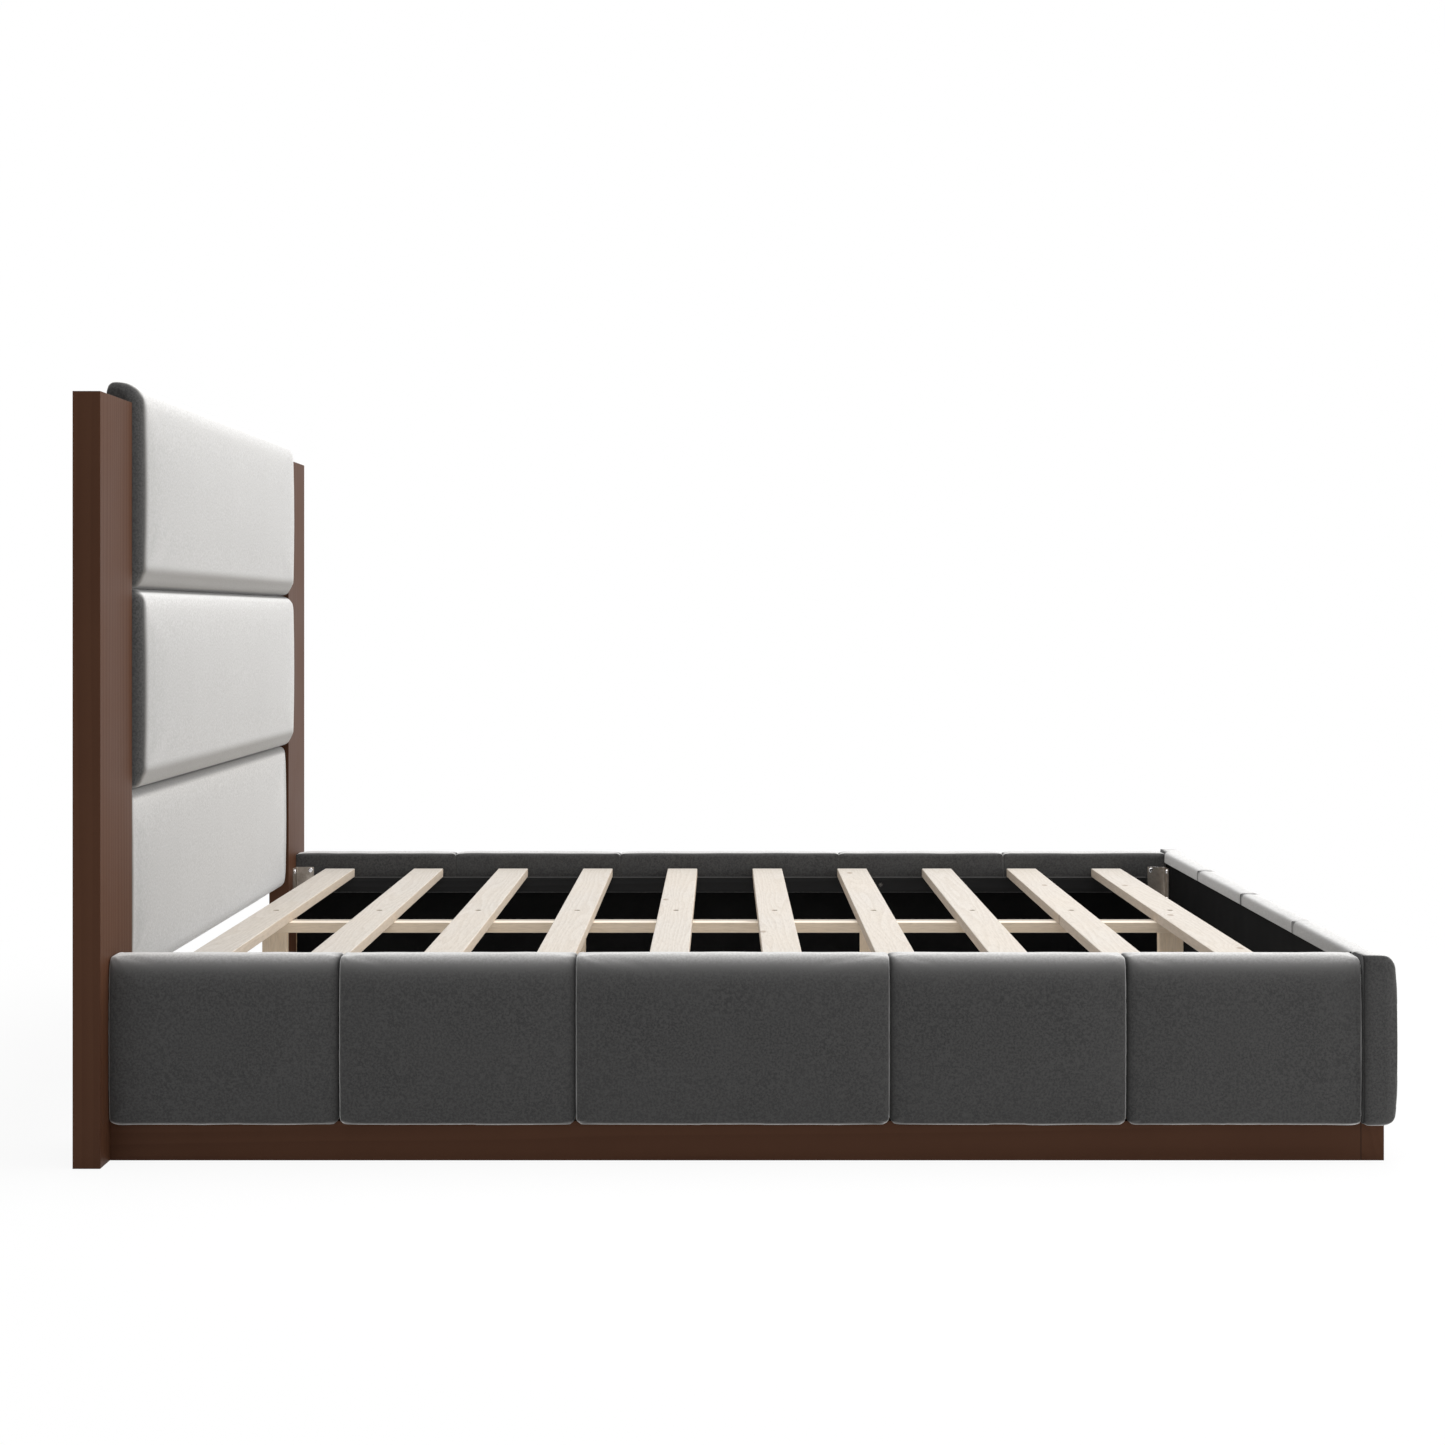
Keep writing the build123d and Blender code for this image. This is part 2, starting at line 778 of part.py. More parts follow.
def all_nodes():
    """Every piece of the bed, under its own name."""
    nodes = {}

    def both_sides(name, shape):
        """A left-hand piece and its mirror image."""
        nodes[name.format("left")] = shape
        nodes[name.format("right")] = to_right(shape)

    both_sides("headboard_post_{}", headboard_post())
    for index, name in enumerate(panel_names):
        nodes["headboard_pad_" + name] = panel_pad(index)
        nodes["headboard_board_" + name] = panel_board(index)
        nodes["headboard_cover_" + name] = panel_cover(index)

    both_sides("side_rail_{}", side_rail())
    both_sides("plinth_{}", side_plinth())
    both_sides("ledger_{}", ledger())
    both_sides("lining_{}", side_lining())
    for index, limits in enumerate(side_pad_limits()):
        both_sides("side_pad_{}_" + str(index + 1), finished_side_pad(limits))

    nodes["foot_rail"] = foot_rail()
    nodes["plinth_foot"] = foot_plinth()
    nodes["lining_foot"] = foot_lining()
    nodes["foot_pad_1"] = end_foot_pad()
    nodes["foot_pad_2"] = inner_foot_pad()
    nodes["foot_pad_3"] = to_right(nodes["foot_pad_2"])
    nodes["foot_pad_4"] = to_right(nodes["foot_pad_1"])

    for index in range(slat_count):
        nodes["slat_{:02d}".format(index + 1)] = slat(index)
    nodes["center_beam"] = center_beam()
    for index in range(leg_count):
        nodes["center_leg_{}".format(index + 1)] = center_leg(index)

    for end in bracket_corners:
        both_sides("corner_bracket_" + end + "_{}", corner_bracket(end))

    bolts = [bracket_bolt(place, direction) for place, direction in left_bolt_places]
    nodes["bracket_bolts"] = group(bolts + [to_right(bolt) for bolt in bolts])

    short = [screw(slat_screw_place(i), down, short_screw_diameter, short_screw_length)
             for i in range(slat_count)]
    for place in ledger_screw_places():
        left_screw = screw(place, outward, short_screw_diameter, short_screw_length)
        short += [left_screw, to_right(left_screw)]
    nodes["short_screws"] = group(short)

    long_screws = [screw(place, up, long_screw_diameter, long_screw_length)
                   for place in foot_plinth_screw_places()]
    for place in side_plinth_screw_places():
        left_screw = screw(place, up, long_screw_diameter, long_screw_length)
        long_screws += [left_screw, to_right(left_screw)]
    for i in range(leg_count):
        long_screws += [screw(place, down, long_screw_diameter, long_screw_length)
                        for place in leg_screw_places(i)]
    nodes["long_screws"] = group(long_screws)

    nodes["dowels"] = group([dowel(place, direction) for place, direction in all_dowel_places])
    return nodes


os.makedirs("parts", exist_ok=True)
for node_name, node_shape in all_nodes().items():
    export_step(node_shape, "parts/" + node_name + ".step")
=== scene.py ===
# %% [markdown]
# # An upholstered platform bed
# The bed is built round a frame that came out of a CAD model: boards, slats, legs, brackets and
# screws already have their true shape and place. What a CAD model lacks is softness and surface,
# so this lesson gives the bed its velvet pads, its cloth linings and its finishes.
# The frame comes first, because every later piece is placed by the frame's own sizes.

# %% Load the frame
import math
from contextlib import contextmanager
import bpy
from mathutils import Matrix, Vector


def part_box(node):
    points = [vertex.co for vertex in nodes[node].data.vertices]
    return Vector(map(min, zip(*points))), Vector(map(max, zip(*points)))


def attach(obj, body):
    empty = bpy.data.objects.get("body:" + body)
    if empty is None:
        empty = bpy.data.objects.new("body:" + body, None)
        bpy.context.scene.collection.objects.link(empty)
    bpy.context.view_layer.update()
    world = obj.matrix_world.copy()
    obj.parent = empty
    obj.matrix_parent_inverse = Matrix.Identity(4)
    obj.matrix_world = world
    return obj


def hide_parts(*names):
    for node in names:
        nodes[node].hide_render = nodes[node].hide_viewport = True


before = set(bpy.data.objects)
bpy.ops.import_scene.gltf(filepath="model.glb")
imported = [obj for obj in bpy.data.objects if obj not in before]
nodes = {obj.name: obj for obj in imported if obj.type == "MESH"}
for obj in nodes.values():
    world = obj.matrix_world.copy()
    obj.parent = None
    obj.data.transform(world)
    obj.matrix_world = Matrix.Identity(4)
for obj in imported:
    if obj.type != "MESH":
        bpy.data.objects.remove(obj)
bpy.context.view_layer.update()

from types import SimpleNamespace

import bpy
import numpy as np
from mathutils import Vector

MM = 0.001


# %% [markdown]
# ## Camera
# The bed is seen from its side, nearly level, by a camera that looks straight across it. Its lens
# axis stays level, so upright posts stay upright in the picture, and the view is shifted down a
# little to frame the bed, as an architect's shift lens does. Tilting the camera would frame it too,
# but the posts would lean.

# %% Camera
bpy.ops.object.camera_add(location=(-0.0236, -4.5045, 0.8951), rotation=(math.pi / 2, 0, 0))
camera = bpy.context.object
camera.name = "side_camera"
camera.data.sensor_width = 36
camera.data.lens = 55.48
camera.data.shift_y = -0.0720
bpy.context.scene.camera = camera
print("camera:", round(camera.data.lens, 2), "mm lens at height", round(camera.location.z, 3))


# %% [markdown]
# ## Selecting things
# Blender's operators act on whatever is selected and active, so each step starts by selecting one
# object and nothing else. These small helpers do that, and give a finished piece its place.

# %% Selection helpers
def select_only(piece):
    bpy.ops.object.select_all(action="DESELECT")
    piece.select_set(True)
    bpy.context.view_layer.objects.active = piece
    return piece


@contextmanager
def editing(piece, start="SELECT"):
    """Edit mode on one piece, starting with all of its mesh selected, or none of it."""
    select_only(piece)
    bpy.ops.object.mode_set(mode="EDIT")
    bpy.ops.mesh.select_all(action=start)
    yield
    bpy.ops.object.mode_set(mode="OBJECT")


def apply_modifier(piece, kind, **settings):
    select_only(piece)
    bpy.ops.object.modifier_add(type=kind)
    modifier = piece.modifiers[-1]
    for name, value in settings.items():
        setattr(modifier, name, value)
    bpy.ops.object.modifier_apply(modifier=modifier.name)


def block(name, low, high):
    """A box between two corners, with its place in its mesh."""
    bpy.ops.object.select_all(action="DESELECT")
    bpy.ops.mesh.primitive_cube_add(size=1, location=[(a + b) / 2 for a, b in zip(low, high)])
    made = bpy.context.object
    made.name = name
    made.scale = [b - a for a, b in zip(low, high)]
    bpy.ops.object.transform_apply(location=True, rotation=True, scale=True)
    return made


def copy_of(source, name):
    """A new object with its own copy of another's mesh."""
    made = bpy.data.objects.new(name, source.data.copy())
    bpy.context.scene.collection.objects.link(made)
    return made


def points_of(piece):
    co = np.empty(len(piece.data.vertices) * 3)
    piece.data.vertices.foreach_get("co", co)
    return co.reshape(-1, 3)


def set_points(piece, points):
    piece.data.vertices.foreach_set("co", points.ravel())
    piece.data.update()


select_only(nodes["slat_01"])
print("selected:", bpy.context.object.name, "with", len(points_of(bpy.context.object)), "points")


# %% [markdown]
# ## Floor, sky and lamps
# The bed stands in a plain white studio. To the camera, the floor and the sky are pure white, but
# their light on the bed is only as strong as daylight from a window: Light Path's Is Camera Ray
# tells the two apart. Brighter lamps would whiten the floor too, but they would wash out the bed.
# The floor lets a little of its real shading through, so the bed still has its soft shadow.

# %% Node helpers
# Like Blender's active object, work.tree is the node tree that all of these helpers add to.
work = SimpleNamespace(tree=None)


def open_tree(tree):
    tree.nodes.clear()
    work.tree = tree


def put(kind, settings=None, **inputs):
    """Add a node, set it up, and give its inputs a value or a link."""
    made = work.tree.nodes.new("ShaderNode" + kind)
    for name, value in (settings or {}).items():
        setattr(made, name, value)
    for name, value in inputs.items():
        index = int(name[1:]) if name[0] == "i" and name[1:].isdigit() else name.replace("_", " ")
        socket = made.inputs[index]
        if isinstance(value, bpy.types.NodeSocket):
            work.tree.links.new(value, socket)
        else:
            socket.default_value = value
    return made


def calc(operation, a, b=0.5, c=0.5, clamp=False):
    """A Math node's result."""
    return put("Math", {"operation": operation, "use_clamp": clamp}, i0=a, i1=b, i2=c).outputs[0]


def plus(a, b):
    return calc("ADD", a, b)


def times(a, b, clamp=False):
    return calc("MULTIPLY", a, b, clamp=clamp)


def inverse(a, clamp=False):
    return calc("SUBTRACT", 1.0, a, clamp=clamp)


def blend(factor, a, b, mode="MIX"):
    """Two colours mixed by a factor."""
    return put("Mix", {"data_type": "RGBA", "blend_type": mode, "clamp_factor": True},
               i0=factor, i6=a, i7=b).outputs[2]


def layered(base, *layers):
    """A colour with others laid over it in turn, each as far as its own mask says."""
    for mask, colour in layers:
        base = blend(mask, base, colour)
    return base


def spread(value, low, high, to_low=0.0, to_high=1.0, smooth=False):
    """A value moved from one range to another, and held inside it."""
    return put("MapRange", {"interpolation_type": "SMOOTHSTEP" if smooth else "LINEAR"},
               i0=value, i1=low, i2=high, i3=to_low, i4=to_high).outputs[0]


def object_coords():
    return put("TexCoord").outputs["Object"]


def axes_of(vector):
    return put("SeparateXYZ", Vector=vector).outputs


def scaled_vector(vector, scale):
    return put("VectorMath", {"operation": "MULTIPLY"}, i0=vector, i1=scale).outputs[0]


def noise(coords, scale, detail, **more):
    return put("TexNoise", Vector=coords, Scale=scale, Detail=detail, **more).outputs[0]


def grey(value):
    return (value, value, value, 1)


def scaled(colour, *shares):
    """A colour with its channels scaled, each by its own share or all by one."""
    shares = shares * 3 if len(shares) == 1 else shares
    return [min(c * share, 0.9) for c, share in zip(colour, shares)] + [1]


print("half of a mid grey:", scaled(grey(0.5), 0.5))


# %% Starting and ending a material
def new_material(name):
    made = bpy.data.materials.new(name)
    made.use_nodes = True
    open_tree(made.node_tree)
    return made


def end_material(base, rough, height, strength, depth, normal=None, **values):
    """The last nodes of a finish: a bump, the Principled shader and the output."""
    turned = {"Normal": normal} if normal else {}
    bump = put("Bump", Strength=strength, Distance=depth, Height=height, **turned)
    shader = put("BsdfPrincipled", Base_Color=base, Roughness=rough, Normal=bump.outputs[0], **values)
    put("OutputMaterial", Surface=shader.outputs[0])


def seen_by_camera():
    """1 for the camera's own rays and those that reach it by way of a gloss, 0 for light."""
    path = put("LightPath")
    return calc("MAXIMUM", path.outputs["Is Camera Ray"],
                calc("MAXIMUM", path.outputs["Is Glossy Ray"], path.outputs["Is Transmission Ray"]))


print("materials before the bed's own:", len(bpy.data.materials))


# %% Floor and sky
sky_light, sky_white, floor_tone, floor_glow = 0.46, 1.0, 0.9, 0.90

world = bpy.data.worlds.new("studio")
bpy.context.scene.world = world
world.use_nodes = True
open_tree(world.node_tree)
soft = put("Background", Color=grey(1), Strength=sky_light)
white = put("Background", Color=grey(1), Strength=sky_white)
both = put("MixShader", i0=seen_by_camera(), i1=soft.outputs[0], i2=white.outputs[0])
put("OutputWorld", Surface=both.outputs[0])

bpy.ops.object.select_all(action="DESELECT")
bpy.ops.mesh.primitive_plane_add(size=60, location=(0, 0, 0))
floor = bpy.context.object
floor.name = "floor"
floor_finish = new_material("pale_floor")
away = put("VectorMath", {"operation": "LENGTH"}, i0=object_coords())
share = spread(away.outputs["Value"], 1.3, 2.6, floor_glow, 1.0, smooth=True)
matt = put("BsdfDiffuse", Color=grey(floor_tone))
glow = put("Emission", Color=grey(1), Strength=1.0)
both = put("MixShader", i0=times(seen_by_camera(), share), i1=matt.outputs[0], i2=glow.outputs[0])
put("OutputMaterial", Surface=both.outputs[0])
floor.data.materials.append(floor_finish)
print("floor:", floor.dimensions.x, "m wide")


# %% Lamps
def lamp(name, place, aim, size, power, tint=(1, 1, 1)):
    """A large square lamp that points at a place."""
    bpy.ops.object.light_add(type="AREA", location=place)
    made = bpy.context.object
    made.name = name
    made.data.shape = "SQUARE"
    made.data.size = size
    made.data.energy = power
    made.data.color = tint
    made.rotation_euler = (Vector(aim) - Vector(place)).to_track_quat("-Z", "Y").to_euler()
    return made


lamp("top_lamp", (0.6, 0.3, 4.6), (0, 0, 0.3), 4.5, 215)
lamp("foot_lamp", (5.2, -0.35, 1.6), (0, 0, 0.6), 3.6, 202, (1.0, 0.975, 0.945))


# %% [markdown]
# ## Paint and wear
# The posts and the plinth are boards in a dark brown satin paint. The paint follows the wood, so
# faint upright bands show through it, and along each edge it has worn a little thinner and lighter.
# The Bevel node finds those edges on any shape without any painting by hand: where it turns the
# surface's direction, an edge is near. Two shared groups, worn edges and long grain, serve all of
# the hard finishes here.

# %% Shared group: worn edges
def new_group(name, inputs, outputs):
    """An empty group with number sockets, or vector ones where the label is Vector or Normal."""
    group = bpy.data.node_groups.new(name, "ShaderNodeTree")
    for side, labels in (("INPUT", inputs), ("OUTPUT", outputs)):
        for label in labels:
            kind = "Vector" if label in ("Vector", "Normal") else "Float"
            group.interface.new_socket(name=label, in_out=side, socket_type="NodeSocket" + kind)
    open_tree(group)
    return group.nodes.new("NodeGroupInput").outputs


def close_group(*results):
    """Links a group's results to its outputs, in their order."""
    group = work.tree
    for value, socket in zip(results, group.nodes.new("NodeGroupOutput").inputs):
        group.links.new(value, socket)
    print("group:", group.name, "with", len(group.nodes), "nodes")
    return group


def use_group(group, **inputs):
    """A group's outputs, in their order."""
    return put("Group", {"node_tree": group}, **inputs).outputs


given = new_group("edge_wear", ("Width", "Patch size", "Cover"), ("Mask", "Normal"))
coords = object_coords()
turned = put("Bevel", {"samples": 4}, Radius=given["Width"]).outputs[0]
flat = put("NewGeometry").outputs["True Normal"]
likeness = put("VectorMath", {"operation": "DOT_PRODUCT"}, i0=turned, i1=flat).outputs["Value"]
near_edge = spread(likeness, 0.99, 0.82)
patches = noise(coords, given["Patch size"], 4.0)
broken = spread(plus(patches, calc("SUBTRACT", given["Cover"], 0.5)), 0.42, 0.62)
edge_group = close_group(times(near_edge, broken), turned)


# %% Shared group: long grain
# The grain runs along the group's own X. Each material turns its coordinates to suit its boards.
# Every cell of a Voronoi pattern may hold a knot, and the rings swerve round it.
given = new_group("long_grain", ("Vector", "Ring width", "Stretch", "Wander", "Knots"),
                  ("Rings", "Fibre", "Knot", "Height"))
long_scale = put("CombineXYZ", X=calc("DIVIDE", 1.0, given["Stretch"]), Y=1.0, Z=1.0).outputs[0]
stretched = scaled_vector(given["Vector"], long_scale)
cells = put("TexVoronoi", {"feature": "F1", "voronoi_dimensions": "2D"}, Scale=1.0, Randomness=1.0,
            Vector=scaled_vector(given["Vector"], (4.2, 9.0, 1.0)))
cell_value = put("SeparateColor", Color=cells.outputs["Color"]).outputs[0]
chosen = calc("LESS_THAN", cell_value, given["Knots"])
near_knot = times(chosen, spread(cells.outputs["Distance"], 0.32, 0.0, smooth=True))
knot = times(chosen, spread(cells.outputs["Distance"], 0.075, 0.035, smooth=True))
wander = times(noise(stretched, 17.0, 2.0, Roughness=0.45), times(given["Wander"], 9.0))
_, across, upwards = axes_of(stretched)
ring_place = plus(calc("DIVIDE", plus(across, times(upwards, 0.45)), given["Ring width"]),
                  plus(wander, times(near_knot, 2.6)))
wave = calc("FRACT", ring_place)
rings = times(spread(wave, 0.15, 0.92, smooth=True), spread(wave, 1.0, 0.92, smooth=True))
fibre = noise(scaled_vector(stretched, (1.2, 1.0, 1.0)), 420.0, 3.0, Roughness=0.6)
relief = plus(times(rings, 0.5), times(fibre, 0.5))
grain_group = close_group(rings, fibre, knot, relief)


# %% Painted wood
def turned_coords(turn=(0, 0, 0), shift=(0, 0, 0)):
    """Object coordinates, turned so that X runs along the grain."""
    return put("Mapping", Vector=object_coords(), Rotation=[math.radians(a) for a in turn],
               Location=shift).outputs[0]


plinth_joint, joint_half_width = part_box("plinth_foot")[0].x, 0.8 * MM


def painted_wood(name, turn):
    """Dark brown satin paint, the grain that shows faintly through it, and the plinth's butt joint."""
    made = new_material(name)
    rings = use_group(grain_group, Vector=turned_coords(turn, (0.013, 0.0, 0.0)),
                      Ring_width=0.017, Stretch=30.0, Wander=0.35)["Rings"]
    worn, normal = use_group(edge_group, Width=0.0016, Patch_size=55.0, Cover=0.42)
    coords = object_coords()
    cloud = noise(coords, 5.0, 3.0)
    orange_peel = noise(coords, 520.0, 2.0)
    dust = noise(coords, 1400.0, 1.0)
    joint_line = calc("COMPARE", axes_of(coords)[0], plinth_joint, joint_half_width)
    base = layered((0.074, 0.0315, 0.0165, 1),
                   (rings, (0.067, 0.028, 0.0147, 1)),
                   (spread(cloud, 0.35, 0.7, 0.0, 0.35), (0.088, 0.040, 0.022, 1)),
                   (spread(dust, 0.70, 0.80, 0.0, 0.25), (0.16, 0.11, 0.085, 1)),
                   (times(worn, 0.22), (0.20, 0.11, 0.075, 1)),
                   (times(joint_line, 0.75), (0.012, 0.006, 0.004, 1)))
    rough = spread(plus(cloud, times(rings, 0.25)), 0.3, 1.0, 0.44, 0.58)
    height = plus(times(rings, 0.3), times(orange_peel, 0.35))
    end_material(base, rough, height, 0.25, 0.2 * MM, normal, Specular_IOR_Level=0.085)
    return made


paint_upright = painted_wood("brown_paint_upright", (0, 90, 0))
paint_long = painted_wood("brown_paint_long", (0, 0, 0))
paint_across = painted_wood("brown_paint_across", (0, 0, 90))
print("paint:", paint_upright.name, paint_long.name, paint_across.name)


# %% [markdown]
# ## Pine
# The slats, the beam and its legs are planed pine, left raw: pale cream wood with soft yellow year
# rings, a few knots, and edges rounded by sanding. Object coordinates are measured through the
# whole bed, so each slat cuts its own piece out of the pattern and no two slats look alike.

# %% Raw pine
def facing(axis, least):
    """1 on the faces that look along an axis, either way."""
    normal = axes_of(put("NewGeometry").outputs["Normal"])[axis]
    return calc("GREATER_THAN", calc("ABSOLUTE", normal), least)


slat_screw_place, slat_seat_radius = 15 * MM, 7.5 * MM


def screw_seat(coords):
    """1 on the floor of the round seats in which the slats' screws are sunk."""
    _, along_slat, height = axes_of(coords)
    sunk = calc("LESS_THAN", height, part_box("slat_01")[1].z - 0.4 * MM)
    near_screw = calc("COMPARE", along_slat, slat_screw_place, slat_seat_radius)
    return times(times(sunk, near_screw), facing(2, 0.9))


def pine(name, turn, shift, light, dark, side, knots=0.2):
    """Planed pine with rings, fibres and knots. side tints the sides, which are sawn, not planed."""
    made = new_material(name)
    rings, fibre, knot, relief = use_group(grain_group, Vector=turned_coords(turn, shift),
                                           Ring_width=0.013, Stretch=13.0, Wander=1.1, Knots=knots)
    worn, normal = use_group(edge_group, Width=0.0012, Patch_size=80.0, Cover=0.8)
    coords = object_coords()
    base = layered(light,
                   (times(rings, 0.36), dark),
                   (spread(noise(coords, 3.1, 1.0), 0.35, 0.65, 0.0, 0.35),
                    scaled(light, 1.02, 0.97, 0.90)),
                   (spread(fibre, 0.45, 0.70, 0.0, 0.34), scaled(dark, 0.70)),
                   (times(knot, 0.62), (0.24, 0.17, 0.115, 1)),
                   (times(worn, 0.5), scaled(light, 1.25)))
    base = blend(inverse(facing(2, 0.6)), base, side, mode="MULTIPLY")
    # The seats are darker: bored end grain, and painted shade in the recess.
    base = blend(times(screw_seat(coords), 0.8), base, (0.10, 0.075, 0.055, 1))
    end_material(base, spread(relief, 0.1, 0.8, 0.50, 0.64), relief, 0.35, 0.3 * MM, normal,
                 IOR=1.42)
    return made


cream, straw = (0.59, 0.548, 0.498, 1), (0.49, 0.435, 0.375, 1)
tan, honey = (0.86, 0.775, 0.67, 1), (0.74, 0.64, 0.51, 1)
pine_across = pine("pine_slats", (0, 0, 90), (0.21, 0.0, 0.0), cream, straw, (0.95, 0.875, 0.79, 1),
                   0.13)
pine_long = pine("pine_beam", (0, 0, 0), (0.0, 0.13, 0.0), tan, honey, (1, 0.94, 0.86, 1))
pine_upright = pine("pine_legs", (0, 90, 0), (0.0, 0.04, 0.02), tan, honey, (0.94, 0.87, 0.78, 1), 0.45)
print("pine:", pine_across.name, pine_long.name, pine_upright.name)


# %% [markdown]
# ## Boards, strips and metal
# The boards inside the pads are plywood, whose thin layers show along the edges. The ledgers are
# strips in a matt black finish. The brackets are zinc-plated, with the clouded look and the fine
# rolling lines of such steel, and their bolts are bright. All of these are simple to see and easy
# to get wrong with one flat colour, so each has its own small changes in colour and gloss.

# %% Plywood, black strip and dowels
ply_layer = 2.2 * MM


def plywood(name, axis, turn):
    """Plywood whose layers lie along one axis."""
    made = new_material(name)
    rings, fibre, _, relief = use_group(grain_group, Vector=turned_coords(turn),
                                        Ring_width=0.024, Stretch=16.0, Wander=0.8, Knots=0.12)
    depth = axes_of(object_coords())[axis]
    layer = calc("PINGPONG", calc("DIVIDE", depth, ply_layer), 1.0)
    on_edge = inverse(facing(axis, 0.5))
    layers = blend(spread(layer, 0.35, 0.65, smooth=True),
                   (0.62, 0.46, 0.29, 1), (0.30, 0.18, 0.095, 1))
    base = layered((0.60, 0.44, 0.275, 1),
                   (times(rings, 0.6), (0.47, 0.315, 0.18, 1)),
                   (on_edge, layers),
                   (spread(fibre, 0.4, 0.8, 0.0, 0.3), (0.32, 0.2, 0.11, 1)))
    end_material(base, spread(relief, 0.0, 1.0, 0.6, 0.75),
                 plus(relief, times(on_edge, layer)), 0.4, 0.3 * MM)
    return made


ply_panel = plywood("plywood_panels", 0, (0, 0, 90))
ply_rail = plywood("plywood_rails", 1, (0, 0, 0))
ply_foot = plywood("plywood_foot", 0, (0, 0, 90))

black_strip = new_material("black_strip")
rings, fibre, _, relief = use_group(grain_group, Vector=turned_coords(), Ring_width=0.008,
                                    Stretch=20.0, Wander=0.4)
worn, normal = use_group(edge_group, Width=0.0011, Patch_size=90.0, Cover=0.62)
# Lighter edges: real wear, and a painted highlight along the top edge. The faces that look up or down are
# lighter too: painted light, meant for the top face lit from above.
base = layered((0.0062, 0.0062, 0.0065, 1),
               (rings, (0.0035, 0.0035, 0.0035, 1)),
               (times(worn, 0.8), (0.12, 0.115, 0.11, 1)),
               (times(facing(2, 0.6), 0.8), (0.045, 0.044, 0.043, 1)))
end_material(base, spread(fibre, 0.2, 0.8, 0.55, 0.72), relief, 0.3, 0.2 * MM, normal,
             Specular_IOR_Level=0.18)

beech = new_material("beech_dowels")
rings, _, _, relief = use_group(grain_group, Vector=turned_coords((0, 0, 90)),
                                Ring_width=0.003, Stretch=12.0, Wander=0.3)
flecks = noise(object_coords(), 900.0, 1.0)
base = layered((0.61, 0.42, 0.25, 1),
               (rings, (0.48, 0.30, 0.165, 1)),
               (spread(flecks, 0.6, 0.72, 0.0, 0.6), (0.30, 0.165, 0.085, 1)))
end_material(base, spread(flecks, 0.3, 0.7, 0.5, 0.66), relief, 0.3, 0.2 * MM)
print("boards:", ply_panel.name, ply_rail.name, black_strip.name, beech.name)


# %% Plated steel
def plated(name, pale, dark, rough_low, rough_high, line_turn, scale=60.0):
    """Plated steel: soft clouds, fine rolling lines, scuffs and brighter edges."""
    made = new_material(name)
    coords = object_coords()
    cloud = noise(coords, scale, 5.0, Roughness=0.6)
    lines = noise(scaled_vector(turned_coords(line_turn), (40.0, 2600.0, 2600.0)), 1.0, 2.0)
    scuffs = put("TexVoronoi", {"feature": "DISTANCE_TO_EDGE"}, Vector=coords, Scale=scale * 3.0)
    worn, normal = use_group(edge_group, Width=0.0007, Patch_size=200.0, Cover=0.7)
    base = layered(pale, (spread(cloud, 0.35, 0.68), dark), (times(worn, 0.6), grey(0.88)))
    rough = plus(spread(cloud, 0.3, 0.7, rough_low, rough_high),
                 spread(scuffs.outputs["Distance"], 0.03, 0.0, 0.0, 0.08))
    height = plus(lines, times(cloud, 0.5))
    end_material(base, rough, height, 0.2, 0.1 * MM, normal, Metallic=1.0)
    return made


zinc = plated("zinc_plate", (0.47, 0.42, 0.37, 1), (0.28, 0.245, 0.21, 1), 0.28, 0.42, (0, 90, 0))
bright = plated("bright_plate", (0.86, 0.86, 0.87, 1), (0.70, 0.70, 0.72, 1), 0.10, 0.2, (0, 0, 0), 160.0)
screw_zinc = plated("screw_plate", (0.11, 0.10, 0.09, 1), (0.055, 0.05, 0.045, 1), 0.3, 0.45, (0, 0, 0),
                    220.0)
staple_wire = plated("staple_wire", (0.62, 0.60, 0.57, 1), (0.42, 0.40, 0.37, 1), 0.25, 0.4, (0, 0, 0),
                     300.0)

finishes = {
    "headboard_post": paint_upright, "plinth_foot": paint_across, "plinth": paint_long,
    "headboard_board": ply_panel, "side_rail": ply_rail, "foot_rail": ply_foot,
    "ledger": black_strip, "slat": pine_across, "center_beam": pine_long, "center_leg": pine_upright,
    "dowels": beech, "corner_bracket": zinc, "bracket_bolts": bright,
    "short_screws": screw_zinc, "long_screws": screw_zinc,
}


def finish_of(name):
    return next((made for start, made in finishes.items() if name.startswith(start)), None)


for name, node in nodes.items():
    finish = finish_of(name)
    if finish:
        node.data.materials.clear()
        node.data.materials.append(finish)
print("finished:", sum(finish_of(n) is not None for n in nodes), "of", len(nodes), "frame pieces")


# %% [markdown]
# ## Velvet
# The bed is covered in one charcoal velvet. Its pile stands up from the cloth like a very short
# lawn: looked at from the front it swallows light and is nearly black-grey, and looked at along the
# surface the lit tips of the fibres join into a pale sheen, so the headboard and the tops of the
# rails look almost white from the side of the bed. That sheen is painted into the base colour: Layer
# Weight gives the flat angle at which the pale colour is mixed in, and the shader's own sheen does the
# rest. Brushed patches and fine fibre specks come from noise in Object coordinates, because the pads
# have no unwrapped surface to paint on.

# %% Shared group: pile and weave
given = new_group("cloth_pile", ("Patch size", "Fibre size", "Weave width"),
                  ("Patches", "Tufts", "Fibres", "Height"))
coords = object_coords()
broad = noise(coords, given["Patch size"], 5.0, Roughness=0.62, Distortion=0.6)
fibres = noise(coords, given["Fibre size"], 2.0, Roughness=0.7)
tufts = noise(coords, times(given["Fibre size"], 0.42), 2.0, Roughness=0.75)
thread_scale = calc("DIVIDE", 2 * math.pi, given["Weave width"])
threads = put("VectorMath", {"operation": "SINE"},
              i0=put("VectorMath", {"operation": "SCALE"}, i0=coords, Scale=thread_scale).outputs[0])
x, y, z = axes_of(threads.outputs[0])
weave = times(plus(x, y), z)
relief = plus(fibres, times(weave, 0.08))
cloth_group = close_group(broad, tufts, fibres, relief)
